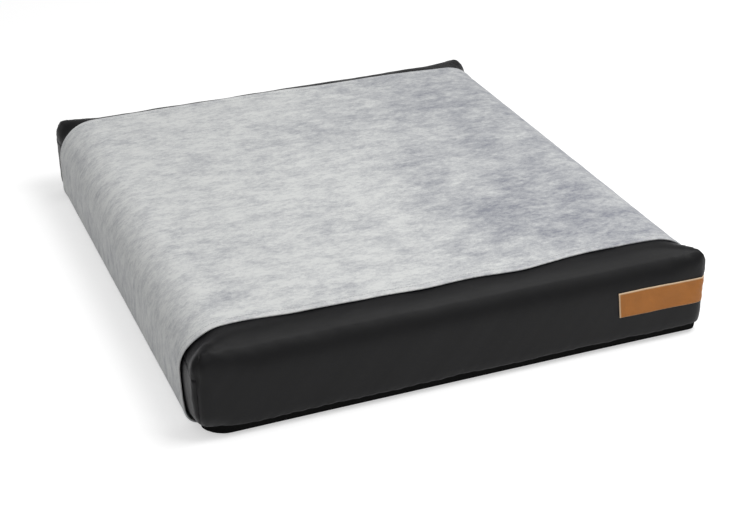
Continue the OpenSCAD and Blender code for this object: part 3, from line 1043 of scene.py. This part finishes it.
class MATTRESS_OT_case(bpy.types.Operator):
    """Sew the case: top, sides, back and base, filled and gathered at its seams"""
    bl_idname = "mattress.case"
    bl_label = "Case"

    def execute(self, context):
        settings = context.scene.mattress_case
        grid = mattress_grid(settings.cell)
        made = grid_object("case_form", grid, onto_shape(grid.box_points, 0.0, settings))
        start, moved = inflate(made, settings)
        outward = vertex_values(made.data, "normal")
        sunk = np.minimum((moved * outward).sum(1) + 0.0008, 0)
        moved = capped(moved - outward * sunk[:, None], settings.swell)
        keep = smooth((start[:, 2] - 0.006) / 0.02)
        keep *= 1 - smooth((start[:, 1] - (BACK_Y - 0.03)) / 0.02)
        filled = within_shape(start + moved * keep[:, None])
        made.data.vertices.foreach_set("co", filled.ravel())
        made.data.update()
        refine(made)
        points = sew_details(made, settings)
        mesh = made.data
        black = woven_material("case_cloth", settings.black, threads=1500.0, depth=0.00009, roughness=0.40,
                               specular=0.20, lint=0.14, sheen=0.02)
        # the base cloth's colour is darkened to near black: painted shade under the overhanging lip
        base_in_painted_shade = woven_material("base_cloth", settings.base, threads=1100.0, depth=0.0002, roughness=0.85,
                              specular=0.04, lint=0.3, sheen=0.0)
        for tag, name in enumerate(PANELS[:-1]):
            base = name == "case_base_panel"
            piece = panel_piece("fitted_" + name, mesh, points, tag)
            dress(piece, base_in_painted_shade if base else black)
            thicken(piece, settings.cloth_t)
            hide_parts(name)
            self.declare(piece, name)
        bpy.data.objects.remove(made)
        for panel in PANELS:
            bpy.data.materials.remove(bpy.data.materials["tag_" + panel])
        grip_dots(settings)
        return {"FINISHED"}

    @staticmethod
    def declare(piece, name):
        """Takes a panel and its name, and does nothing with them."""


def grip_dots(settings):
    """Small moulded dots under the base, which stand on the floor."""
    radius, sides = 0.0024, 8
    pitch = settings.dot_pitch
    points, faces = [], []
    xs = np.arange(-CORE_HW + 0.02, CORE_HW - 0.02 + 1e-9, pitch)
    ys = np.arange(FRONT_Y + 0.04, BACK_Y - 0.04 + 1e-9, pitch)
    rings = [(1.0, BASE_CLEAR + 0.0002), (0.85, 0.00030), (0.45, 0.00008)]
    for row, y in enumerate(ys):
        for x in xs + (pitch / 2 if row % 2 else 0):
            if abs(x) > CORE_HW - 0.012:
                continue
            first = len(points)
            for share, z in rings:
                points += [(x + radius * share * math.cos(2 * math.pi * s / sides),
                            y + radius * share * math.sin(2 * math.pi * s / sides), z) for s in range(sides)]
            for r in range(len(rings) - 1):
                a, b = first + r * sides, first + (r + 1) * sides
                faces += [(a + s, b + s, b + (s + 1) % sides, a + (s + 1) % sides) for s in range(sides)]
            faces.append([first + (len(rings) - 1) * sides + s for s in range(sides)][::-1])
            faces.append([first + s for s in range(sides)])
    dots = new_object("grip_dots", points, faces, "mattress")
    dress(dots, rubber_material())
    fix_normals(dots)


# ---- foam ----

def foam_block(name, node, z0, z1, settings, colour, cells, slot):
    """A block of foam cut level above and below, inside the liner."""
    grid = BoxGrid(stations(-CASE_HW, CASE_HW, 0.016), stations(FRONT_Y, BACK_Y, 0.016),
                   stations(0.0, CASE_TOP, 0.012))
    made = bmesh.new()
    verts = [made.verts.new(p) for p in onto_shape(grid.box_points, FOAM_INSET, settings)]
    for f in grid.faces:
        made.faces.new([verts[i] for i in f])
    for z, up in ((z0, False), (z1, True)):
        cut = bmesh.ops.bisect_plane(made, geom=made.verts[:] + made.edges[:] + made.faces[:],
                                     plane_co=(0, 0, z), plane_no=(0, 0, 1 if up else -1),
                                     clear_outer=True, dist=1e-6)
        edges = [e for e in cut["geom_cut"] if isinstance(e, bmesh.types.BMEdge)]
        if edges:
            bmesh.ops.edgeloop_fill(made, edges=edges)
    mesh = bpy.data.meshes.new(name)
    made.to_mesh(mesh)
    made.free()
    smooth_shading(mesh)
    block = in_scene(name, mesh)
    round_edges(block, width=0.0015, segments=2, angle=50)
    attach(block, "mattress")
    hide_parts(node)
    dress(block, foam_material(slot, colour, cells))
    fix_normals(block)


class MATTRESS_OT_filling(bpy.types.Operator):
    """Cut the two foams and wrap them in the waterproof liner"""
    bl_idname = "mattress.filling"
    bl_label = "Filling"

    def execute(self, context):
        settings = context.scene.mattress_case
        foam_block("cut_base_foam", "base_foam", 0.0, SPLIT_Z - FOAM_GAP, settings,
                   (0.55, 0.60, 0.64), 260.0, "firm_foam")
        foam_block("cut_comfort_foam", "comfort_foam", SPLIT_Z + FOAM_GAP, CASE_TOP, settings,
                   (0.80, 0.72, 0.55), 420.0, "soft_foam")
        grid = BoxGrid(stations(-CASE_HW, CASE_HW, 0.014), stations(FRONT_Y, BACK_Y, 0.014),
                       stations(0.0, CASE_TOP, 0.012))
        points = onto_shape(grid.box_points, LINER_INSET, settings)
        points += 0.0004 * ripple(points, 90.0, 0.6)[:, None] * np.array([0.5, 0.5, 1.0])
        liner = new_object("wrapped_foam_liner", points, grid.faces, "mattress",
                           grid.uvs(points))
        thicken(liner, 0.0005)
        dress(liner, liner_material())
        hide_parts("foam_liner")
        return {"FINISHED"}


# ---- label ----

# the label lies this far off the case, and its free end was sewn on higher and further in than planned
LABEL_GAP = 0.0002
LABEL_SHIFT = 0.0045
LABEL_SLANT = 0.0045
FREE_RISE = 0.0034
SEAM_RISE = 0.0022
# the outermost rows of its cells make its cut edge
LABEL_EDGE = 0.0006


class MATTRESS_OT_label(bpy.types.Operator):
    """Cut the leather label and lay it along the front and round the corner into its seam"""
    bl_idname = "mattress.label"
    bl_label = "Label"

    def execute(self, context):
        settings = context.scene.mattress_label
        corner_low, corner_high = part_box("leather_label")
        thickness = FRONT_Y - corner_low.y
        flat_end = CASE_HW - CORNER_R
        free_x = corner_low.x + LABEL_SHIFT
        flat = flat_end - free_x
        turn = CORNER_R * math.radians(45)
        length, height = flat + turn, corner_high.z - corner_low.z
        tree = self.case_tree()
        us = stations(0.0, length, settings.cell, (LABEL_EDGE, length - LABEL_EDGE))
        vs = stations(0.0, height, settings.cell, (LABEL_EDGE, height - LABEL_EDGE))
        face, back = [], []
        for u in us:
            for v in vs:
                angle = max(0.0, u - flat) / CORNER_R
                outward = Vector((math.sin(angle), -math.cos(angle), 0.0))
                rise = FREE_RISE + (SEAM_RISE - FREE_RISE) * u / length
                lean = LABEL_SLANT * (1 - v / height) * (1 - min(u / flat, 1.0))
                foot = Vector((min(free_x + u + lean, flat_end), FRONT_Y + CORNER_R, corner_low.z + v + rise))
                hit = tree.ray_cast(foot + outward * 0.08, -outward)[0]
                on_wall = hit if hit is not None else foot + outward * CORNER_R
                # the leather bridges the seam's groove and keeps its own gentle curve
                reach = max((on_wall - foot).dot(outward), CORNER_R - 0.0032)
                round_edge = self.cut_and_lit_edge(u, v, length, height)
                face.append(foot + outward * (reach + LABEL_GAP + thickness * (1 - 0.22 * round_edge)))
                back.append(foot + outward * (reach + LABEL_GAP))
        label = new_object("cut_leather_label", face + back, two_sided_faces(len(us), len(vs)), "mattress")
        edge = label.data.attributes.new("cut_edge_and_highlight", "FLOAT", "POINT")
        values = [self.cut_and_lit_edge(u, v, length, height) for u in us for v in vs] + [1.0] * len(back)
        edge.data.foreach_set("value", values)
        fix_normals(label)
        dress(label, leather_material(settings))
        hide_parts("leather_label")
        return {"FINISHED"}

    @staticmethod
    def cut_and_lit_edge(u, v, length, height):
        """1 on the label's cut edge and 0 a little way in from it; along its top and its free end the band is
        wider, a painted highlight where light catches the edge.
        """
        near = min(u, length - u, v, height - v)
        # the wider band along the top and the free end is painted highlight
        pale = min(u, height - v)
        return 1.0 if near < 0.0003 or pale < 0.0008 else 0.0

    @staticmethod
    def case_tree():
        """The case's outer surface, for finding where the label lies on it."""
        panel = bpy.data.objects["fitted_case_top_panel"].data
        side = bpy.data.objects["fitted_case_right_panel"].data
        points = [v.co for v in panel.vertices] + [v.co for v in side.vertices]
        shift = len(panel.vertices)
        faces = [tuple(p.vertices) for p in panel.polygons]
        faces += [tuple(v + shift for v in p.vertices) for p in side.polygons]
        return BVHTree.FromPolygons(points, faces)


# ---- cover ----

def quarter(cx, cz, r, start, steps):
    """Points and normals of a quarter turn."""
    angles = [math.radians(start + 90 * i / steps) for i in range(steps + 1)]
    return [((cx + r * math.cos(a), cz + r * math.sin(a)), (math.cos(a), math.sin(a))) for a in angles]


def cover_line(step):
    """The pile side of the cover seen end on: places, normals and run from one tucked end to the other."""
    hw = COVER_HIGH.x - HEM_PROUD
    z0, z1 = COVER_LOW.z + HEM_PROUD, COVER_HIGH.z - HEM_PROUD
    inner_hw = hw - COVER_T
    gap = inner_hw - CASE_HW
    rb, rt = SIDE_BOTTOM_R + gap + COVER_T, SIDE_TOP_R + gap + COVER_T

    def straight(a, b, normal):
        count = max(1, round(math.dist(a, b) / step))
        return [((a[0] + (b[0] - a[0]) * i / count, a[1] + (b[1] - a[1]) * i / count), normal)
                for i in range(1, count)]

    half = [((FLAP_END_X, z0), (0.0, -1.0))]
    half += straight((FLAP_END_X, z0), (hw - rb, z0), (0.0, -1.0))
    half += quarter(hw - rb, z0 + rb, rb, -90, 9)
    half += straight((hw, z0 + rb), (hw, z1 - rt), (1.0, 0.0))
    half += quarter(hw - rt, z1 - rt, rt, 0, 18)
    top = straight((hw - rt, z1), (rt - hw, z1), (0.0, 1.0))
    other = [((-p[0], p[1]), (-n[0], n[1])) for p, n in half]
    line = half + top + other[::-1]
    places = np.array([p for p, _ in line])
    normals = np.array([n for _, n in line])
    runs = np.concatenate([[0], np.cumsum(np.linalg.norm(np.diff(places, axis=0), axis=1))])
    return places, normals, runs


STITCH_INSET = HEM_W - 0.0022


def hem_height(from_edge):
    """How far the pile stands proud at a distance from the cover's edge: a doubled hem and its stitches."""
    raised = HEM_PROUD * (1 - smooth((from_edge - HEM_W + 0.0012) / 0.0030))
    dimple = 0.0007 * np.exp(-((from_edge - STITCH_INSET) / 0.0011) ** 2)
    roll = 0.75 + 0.25 * np.exp(-((from_edge - STITCH_INSET / 2) / 0.004) ** 2)
    return raised * roll - dimple


def cover_ring(step):
    """The cover seen from its side: its rows along Y, its back and front folds and half a fold's height."""
    front, back = COVER_LOW.y, COVER_HIGH.y
    half_t = (COVER_T + HEM_PROUD) / 2
    near = [0.0018, 0.004, 0.007, 0.0095, 0.0108, STITCH_INSET, 0.0128, 0.0142, 0.0160, 0.020]
    rows = [front + d for d in near]
    rows += list(stations(front + 0.020, back - 0.020, step)[1:-1])
    rows += [back - d for d in near[::-1]]
    folds = []
    for edge, side in ((back, 1), (front, -1)):
        folds.append([(edge - side * half_t * (1 - math.cos(math.radians(a))),
                       half_t * math.sin(math.radians(a))) for a in range(90, -91, -30)])
    return rows, folds, half_t


def cover_lift(place, normal, y, settings):
    """How the loose cloth stands off or lies down at one place, along its normal."""
    at = np.array([[place[0], y, place[1]]])
    wave = float(ripple(at, 17.0, 0.3)[0]) * 0.6 + float(ripple(at, 41.0, 1.9)[0]) * 0.4
    # the tucked ends under the mattress lie flat
    under = float(smooth((place[1] - 0.004) / 0.02))
    edge = math.exp(-((y - COVER_LOW.y) / 0.035) ** 2) + 0.6 * math.exp(-((COVER_HIGH.y - y) / 0.03) ** 2)
    edge_lift = edge * (0.35 + 0.65 * float(ripple(at, 23.0, 2.6)[0]) ** 2)
    fall = case_fall(place[0]) * max(normal[1], 0.0)
    return under * settings.wave * (0.55 * wave + edge_lift) - 0.8 * fall


def case_fall(x):
    """How far the case's top falls towards its sides."""
    return bpy.context.scene.mattress_case.crown * (abs(x) / CASE_HW) ** 4


# how the front edge was cut and sits: centre, spread and amount along X, with + towards the back
EDGE_WANDER = {
    "left_shoulder": (-0.335, 0.090, 0.0085),
    "middle": (-0.030, 0.100, -0.0045),
    "right_of_middle": (0.110, 0.045, -0.0085),
    "right": (0.280, 0.060, 0.0035),
    "right_shoulder": (0.365, 0.035, -0.0030),
}
# the cover's side walls draw back from the front around this height
WALL_DRAW_Z = 0.078


def edge_shift(place, settings):
    """How far the cover's front edge wanders forwards or back at one place of its section."""
    x, z = place
    shift = sum(amount * math.exp(-((x - centre) / spread) ** 2)
                for centre, spread, amount in EDGE_WANDER.values())
    wall = math.exp(-((z - WALL_DRAW_Z) / 0.05) ** 2) * float(smooth((abs(x) - 0.36) / 0.035))
    shift += (0.012 if x < 0 else 0.005) * wall
    shift += settings.edge_wave * (0.5 * math.sin(37.0 * x) + 0.5 * math.sin(61.0 * x + 1.0))
    return shift * float(smooth((z - 0.010) / 0.030))


def back_shift(place):
    """How far the cover's back edge wanders, which is forwards on its right half."""
    x, z = place
    drawn = 0.007 * float(smooth(x / 0.10)) + 0.009 * float(smooth((x - 0.22) / 0.14))
    return -drawn * float(smooth((z - 0.010) / 0.030))


def edge_move(place, y, settings):
    """The wander of both edges, which fades away from each of them."""
    front = math.exp(-((y - COVER_LOW.y) / 0.10) ** 2)
    back = math.exp(-((COVER_HIGH.y - y) / 0.10) ** 2)
    return edge_shift(place, settings) * front + back_shift(place) * back


def laid(place, normal, y, height, settings):
    """Where one point of the cover lies: at a place of its section and a height off its pile."""
    off = height + cover_lift(place, normal, y, settings)
    return (place[0] + normal[0] * off, y + edge_move(place, y, settings), place[1] + normal[1] * off)


class MATTRESS_OT_cover(bpy.types.Operator):
    """Cut, hem and lay the velour cover over the mattress"""
    bl_idname = "mattress.cover"
    bl_label = "Cover"

    def execute(self, context):
        settings = context.scene.mattress_cover
        places, normals, runs = cover_line(settings.cell)
        rows, folds, half_t = cover_ring(settings.cell)
        front, back = COVER_LOW.y, COVER_HIGH.y
        mid = HEM_PROUD - half_t
        # round the cloth: over the pile, round the back hem, along the backing and round the front hem
        line = [(y, hem_height(min(y - front, back - y))) for y in rows]
        line += [(y, mid + h) for y, h in folds[0]]
        line += [(y, -COVER_T) for y in rows[::-1]]
        line += [(y, mid + h) for y, h in folds[1][::-1]]
        rings = [[laid(place, normal, y, h, settings) for y, h in line]
                 for place, normal in zip(places, normals)]
        count = len(line)
        points = [p for ring in rings for p in ring]
        faces, uvs, backing = [], [], []
        first_inner = len(rows) + len(folds[0])
        for k in range(len(rings) - 1):
            for s in range(count):
                t = (s + 1) % count
                corners = (k * count + s, (k + 1) * count + s, (k + 1) * count + t, k * count + t)
                faces.append(corners)
                for r, c in ((k, s), (k + 1, s), (k + 1, t), (k, t)):
                    uvs.append((runs[r], rings[r][c][1]))
                backing.append(int(first_inner <= s < first_inner + len(rows)))
        for k, flip in ((0, True), (len(rings) - 1, False)):
            loop = [k * count + s for s in range(count)]
            for quad in self.cap(loop, len(rows) + len(folds[0]) // 2):
                faces.append(quad[::-1] if flip else quad)
                uvs += [(runs[k], points[v][1]) for v in quad]
                backing.append(0)
        cover = new_object("sewn_cover_band", points, faces, "cover", uvs)
        dress(cover, velour_material(settings), backing_material())
        cover.data.polygons.foreach_set("material_index", backing)
        fix_normals(cover)
        threads = self.topstitch(settings, places, normals)
        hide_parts("cover_band")
        return {"FINISHED"}

    @staticmethod
    def cap(loop, middle):
        """Quads across a cut end of the cover, from the middle of the back hem's fold to the front one's."""
        n = len(loop)
        return [tuple(loop[(middle + d) % n] for d in (-k, -k - 1, k + 2, k + 1))
                for k in range((n - 2) // 2)]

    @staticmethod
    def topstitch(settings, places, normals):
        """Two rows of stitches along the hems."""
        lines = [[(laid(place, normal, y, HEM_PROUD - 0.0009, settings), (normal[0], 0.0, normal[1]))
                  for place, normal in zip(places, normals)]
                 for y in (COVER_LOW.y + STITCH_INSET, COVER_HIGH.y - STITCH_INSET)]
        return stitch_rows("cover_topstitching", lines, settings.stitch, 0.00032, "cover",
                           thread_material("hem_thread", (0.46, 0.47, 0.48)))


def stitch_rows(name, lines, pitch, radius, body, material):
    """Rows of short stitches that lie on a surface and dive into it at both ends."""
    sides, rings = 6, 5
    points, faces = [], []
    for line in lines:
        at = np.array([p for p, _ in line])
        up = np.array([n for _, n in line])
        run = np.concatenate([[0], np.cumsum(np.linalg.norm(np.diff(at, axis=0), axis=1))])
        for i in range(int((run[-1] - pitch) / pitch)):
            begin = pitch * (i + 0.6)
            ss = np.linspace(begin, begin + pitch * 0.8, rings)
            centre = np.stack([np.interp(ss, run, at[:, c]) for c in range(3)], 1)
            lifted = np.stack([np.interp(ss, run, up[:, c]) for c in range(3)], 1)
            lifted /= np.linalg.norm(lifted, axis=1)[:, None]
            ahead = centre[-1] - centre[0]
            ahead /= np.linalg.norm(ahead)
            hump = np.sin(np.linspace(0, math.pi, rings))
            first = len(points)
            for c, n, h in zip(centre, lifted, hump):
                side = np.cross(ahead, n)
                middle = c + n * (radius * 1.5 * h - radius * 0.4)
                thick = radius * (0.72 + 0.28 * h)
                for s in range(sides):
                    angle = 2 * math.pi * s / sides
                    points.append(middle + thick * (side * math.cos(angle) + n * math.sin(angle)))
            for r in range(rings - 1):
                a, b = first + r * sides, first + (r + 1) * sides
                faces += [(a + s, a + (s + 1) % sides, b + (s + 1) % sides, b + s) for s in range(sides)]
            faces.append([first + s for s in range(sides)][::-1])
            faces.append([first + (rings - 1) * sides + s for s in range(sides)])
    piece = new_object(name, points, faces, body)
    fix_normals(piece)
    return dress(piece, material)


# ---- hook and loop ----

def tape_strip(name, node, body, material, outward, field_rise):
    """A woven tape with flat selvedges and a raised field down its middle."""
    corner_low, corner_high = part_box(node)
    width = corner_high.x - corner_low.x
    thick = corner_high.z - corner_low.z
    edge = 0.0035
    xs = [0.0, 0.0006, 0.0018, edge - 0.0005, edge + 0.0005]
    xs += list(np.linspace(edge + 0.002, width / 2, 5))
    xs += [width - x for x in xs[-2::-1]]
    ys = stations(corner_low.y, corner_high.y, 0.006)
    points, uvs, faces = [], [], []

    back = corner_low.z if outward > 0 else corner_high.z
    for y in ys:
        end = 1 - smooth(1 - min(y - corner_low.y, corner_high.y - y) / 0.0012)
        for x in xs:
            near = min(x, width - x)
            rise = (1 - field_rise) * smooth(near / 0.0006)
            rise += field_rise * smooth((near - edge + 0.0005) / 0.001)
            height = thick * float(rise) * (0.55 + 0.45 * float(end))
            points.append((corner_low.x + x, y, back + outward * height))
        points += [(corner_low.x + x, y, back) for x in xs[::-1]]
    count = 2 * len(xs)
    for r in range(len(ys) - 1):
        for s in range(count):
            t = (s + 1) % count
            quad = (r * count + s, (r + 1) * count + s, (r + 1) * count + t, r * count + t)
            faces.append(quad)
            uvs += [(points[v][0], points[v][1]) for v in quad]
    for r in (0, len(ys) - 1):
        for s in range(len(xs) - 1):
            quad = (r * count + s, r * count + s + 1, r * count + count - 2 - s, r * count + count - 1 - s)
            faces.append(quad)
            uvs += [(points[v][0], points[v][1]) for v in quad]
    strip = new_object(name, points, faces, body, uvs)
    fix_normals(strip, join=True)
    dress(strip, material)
    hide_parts(node)


class MATTRESS_OT_strips(bpy.types.Operator):
    """Sew on the hook and loop strips that hold the tucked ends of the cover"""
    bl_idname = "mattress.strips"
    bl_label = "Strips"

    def execute(self, context):
        hooks = bristle_material("hook_tape", (0.10, 0.105, 0.11), 640.0, 0.0008)
        loops = bristle_material("loop_tape", (0.030, 0.031, 0.033), 420.0, 0.0010)
        for side in ("left", "right"):
            tape_strip(f"woven_hook_strip_{side}", f"hook_strip_{side}", "cover", hooks, 1, 0.45)
            tape_strip(f"woven_loop_strip_{side}", f"loop_strip_{side}", "mattress", loops, -1,
                       0.35)
        return {"FINISHED"}


# ---- zip ----

def bevelled_copy(name, node, body, width, material, segments=2):
    """A detailed piece from a node's own shape, with its edges rounded."""
    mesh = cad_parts[node].data.copy()
    mesh.name = name
    piece = in_scene(name, mesh)
    made = bmesh.new()
    made.from_mesh(mesh)
    bmesh.ops.remove_doubles(made, verts=made.verts, dist=1e-6)
    bmesh.ops.dissolve_limit(made, angle_limit=math.radians(1), verts=made.verts, edges=made.edges)
    bmesh.ops.recalc_face_normals(made, faces=made.faces)
    made.to_mesh(mesh)
    made.free()
    smooth_shading(mesh)
    round_edges(piece, width, segments, angle=35, harden=True)
    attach(piece, body)
    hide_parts(node)
    dress(piece, material)


def zip_tape_piece(side, node, material):
    """One tape of the zip, with a corded edge under the teeth and a stitched fold of the case beside it."""
    corner_low, corner_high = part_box(node)
    length, height = corner_high.x - corner_low.x, corner_high.z - corner_low.z
    us = stations(0.0, length, 0.008)
    # from the case's side to the teeth: the folded edge, a cord and the line of stitches
    edge, cord_at, seam_at = 0.0004, 0.0044, 0.0085
    vs = np.array([0.0, edge, 0.0012, 0.0022, 0.0032, 0.005, 0.007, seam_at, 0.0095, height - edge, height])
    fold = -0.00035 * smooth((edge - vs) / edge)
    cord = -0.0002 * bell(vs - cord_at, 0.0007)
    seam = -0.0003 * bell(vs - seam_at, 0.0005)
    zs = corner_low.z + vs if side > 0 else corner_high.z - vs
    outer, inner = corner_high.y + fold + cord + seam, np.full(len(vs), corner_low.y)
    points = [(corner_low.x + u, y, z) for ys in (outer, inner) for u in us for y, z in zip(ys, zs)]
    faces = two_sided_faces(len(us), len(vs))
    uvs = [(points[v][0], points[v][2]) for face in faces for v in face]
    tape = new_object("woven_" + node, points, faces, "mattress", uvs)
    fix_normals(tape)
    dress(tape, material)
    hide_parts(node)


class MATTRESS_OT_zip(bpy.types.Operator):
    """Fit the zip: tapes, teeth, stops, slider and pull, with the stitches that hold it"""
    bl_idname = "mattress.zip"
    bl_label = "Zip"

    def execute(self, context):
        cloth = woven_material("zip_cloth", (0.012, 0.012, 0.013), threads=2200.0, depth=0.0003,
                               roughness=0.68, specular=0.25, lint=0.3, sheen=0.03)
        nylon, metal = nylon_material(), metal_material()
        zip_tape_piece(1, "zip_tape_upper", cloth)
        zip_tape_piece(-1, "zip_tape_lower", cloth)
        for node in ("zip_teeth_upper", "zip_teeth_lower"):
            bevelled_copy("moulded_" + node, node, "mattress", 0.00022, nylon, 1)
        bevelled_copy("crimped_zip_stops", "zip_stops", "mattress", 0.0004, metal)
        bevelled_copy("cast_zip_slider", "zip_slider", "slider", 0.0003, metal)
        bevelled_copy("cast_zip_pull", "zip_pull", "pull", 0.0003, metal)
        self.stitches()
        return {"FINISHED"}

    @staticmethod
    def stitches():
        """A row of stitches along each edge of the zip."""
        inset = 0.0018
        xs = np.arange(ZIP_LOW.x + 0.004, ZIP_HIGH.x - 0.004, 0.01)
        lines = [[((x, BACK_Y - 0.0001, z), (0.0, 1.0, 0.0)) for x in xs]
                 for z in (ZIP_LOW.z + inset, ZIP_HIGH.z - inset)]
        stitch_rows("zip_stitching", lines, 0.0036, 0.00026, "mattress",
                    thread_material("case_thread", (0.035, 0.035, 0.037)))


# ---- studio ----

WHITE = (1.0, 1.0, 1.0, 1.0)
FLOOR_REACH = 9.0
FLOOR_PAPER = (0.72, 0.72, 0.72, 1.0)
FLOOR_GLOW = 0.50
KEY_PLACE = (0.85, -0.75, 2.3)
KEY_AIM = (0.0, -0.1, 0.0)
KEY_SIZE = 1.4


def floor_material():
    """White studio floor: it takes the shadow, and the camera sees it a little lifted towards white."""
    material = bpy.data.materials.new("studio_floor")
    f = blank_nodes(material)
    paper = f.add("ShaderNodeBsdfDiffuse", {"Color": FLOOR_PAPER})
    path = f.add("ShaderNodeLightPath")
    seen = f.math("MAXIMUM", path.outputs["Is Camera Ray"],
                  f.math("MAXIMUM", path.outputs["Is Glossy Ray"], path.outputs["Is Transmission Ray"]))
    glow = f.add("ShaderNodeEmission", {"Color": WHITE, "Strength": f.math("MULTIPLY", seen, FLOOR_GLOW)})
    both = f.add("ShaderNodeAddShader", {0: paper.outputs[0], 1: glow.outputs[0]})
    # from beneath the floor is clear, so that the base can be looked at
    clear = f.add("ShaderNodeBsdfTransparent")
    beneath = f.add("ShaderNodeNewGeometry").outputs["Backfacing"]
    shown = f.add("ShaderNodeMixShader", {0: beneath, 1: both.outputs[0], 2: clear.outputs[0]})
    f.add("ShaderNodeOutputMaterial", {"Surface": shown.outputs[0]})
    return material


def make_world(settings):
    """Even light all round, which the camera sees as white."""
    world = bpy.data.worlds.new("studio")
    f = blank_nodes(world)
    path = f.add("ShaderNodeLightPath")
    seen = f.math("MAXIMUM", path.outputs["Is Camera Ray"], path.outputs["Is Transmission Ray"])
    lit = f.add("ShaderNodeBackground", {"Color": WHITE, "Strength": settings.sky})
    white = f.add("ShaderNodeBackground", {"Color": WHITE, "Strength": 1.0})
    mixed = f.add("ShaderNodeMixShader", {0: seen, 1: lit.outputs[0], 2: white.outputs[0]})
    f.add("ShaderNodeOutputWorld", {"Surface": mixed.outputs[0]})
    bpy.context.scene.world = world


def add_key_lamp(power):
    """A large soft square lamp that faces the mattress."""
    data = bpy.data.lights.new("key_lamp", "AREA")
    data.shape = "RECTANGLE"
    data.size = data.size_y = KEY_SIZE
    data.energy = power
    made = in_scene("key_lamp", data)
    made.location = KEY_PLACE
    made.rotation_euler = (Vector(KEY_AIM) - Vector(KEY_PLACE)).to_track_quat("-Z", "Y").to_euler()


class MATTRESS_OT_studio(bpy.types.Operator):
    """Set the floor, the lamps and the camera"""
    bl_idname = "mattress.studio"
    bl_label = "Studio"

    def execute(self, context):
        settings = context.scene.mattress_studio
        mesh = bpy.data.meshes.new("studio_floor")
        corners = ((-1, -1), (1, -1), (1, 1), (-1, 1))
        mesh.from_pydata([(x * FLOOR_REACH, y * FLOOR_REACH, 0) for x, y in corners], [], [(0, 1, 2, 3)])
        floor = in_scene("studio_floor", mesh)
        dress(floor, floor_material())
        make_world(settings)
        add_key_lamp(settings.key)
        back = Vector((math.sin(settings.azimuth) * math.cos(settings.elevation),
                       -math.cos(settings.azimuth) * math.cos(settings.elevation),
                       math.sin(settings.elevation)))
        right = Vector((math.cos(settings.azimuth), math.sin(settings.azimuth), 0.0))
        up = back.cross(right)
        right, up = (right * math.cos(settings.roll) + up * math.sin(settings.roll),
                     up * math.cos(settings.roll) - right * math.sin(settings.roll))
        data = bpy.data.cameras.new("studio_camera")
        data.lens = settings.lens
        data.sensor_width = 36.0
        data.clip_end = 50.0
        camera = in_scene("studio_camera", data)
        turned = Matrix((right, up, back)).transposed().to_4x4()
        camera.matrix_world = Matrix.Translation(Vector(settings.target) + back * settings.distance) @ turned
        context.scene.camera = camera
        context.scene.view_settings.view_transform = "Standard"
        return {"FINISHED"}


class MATTRESS_PT_panel(bpy.types.Panel):
    """Lists the mattress's parts and their settings"""
    bl_idname = "MATTRESS_PT_panel"
    bl_label = "Dog mattress"
    bl_space_type = "VIEW_3D"
    bl_region_type = "UI"
    bl_category = "Mattress"

    def draw(self, context):
        for name, group in GROUPS.items():
            box = self.layout.box()
            box.label(text=group.__doc__)
            for prop in group.__annotations__:
                box.prop(getattr(context.scene, name), prop)
        for step in STEPS:
            self.layout.operator(step.bl_idname)


STEPS = (MATTRESS_OT_studio, MATTRESS_OT_case, MATTRESS_OT_filling, MATTRESS_OT_label, MATTRESS_OT_cover,
         MATTRESS_OT_strips, MATTRESS_OT_zip)
CLASSES = (*GROUPS.values(), *STEPS, MATTRESS_PT_panel)


def register():
    """Registers the classes and puts their settings on the scene."""
    for c in CLASSES:
        bpy.utils.register_class(c)
    for name, group in GROUPS.items():
        setattr(bpy.types.Scene, name, PointerProperty(type=group))


def unregister():
    """Takes the classes and settings away again."""
    for name in GROUPS:
        delattr(bpy.types.Scene, name)
    for c in reversed(CLASSES):
        bpy.utils.unregister_class(c)


def main():
    """Builds the whole mattress."""
    register()
    for step in STEPS:
        group, name = step.bl_idname.split(".")
        getattr(getattr(bpy.ops, group), name)()


if __name__ == "__main__":
    main()
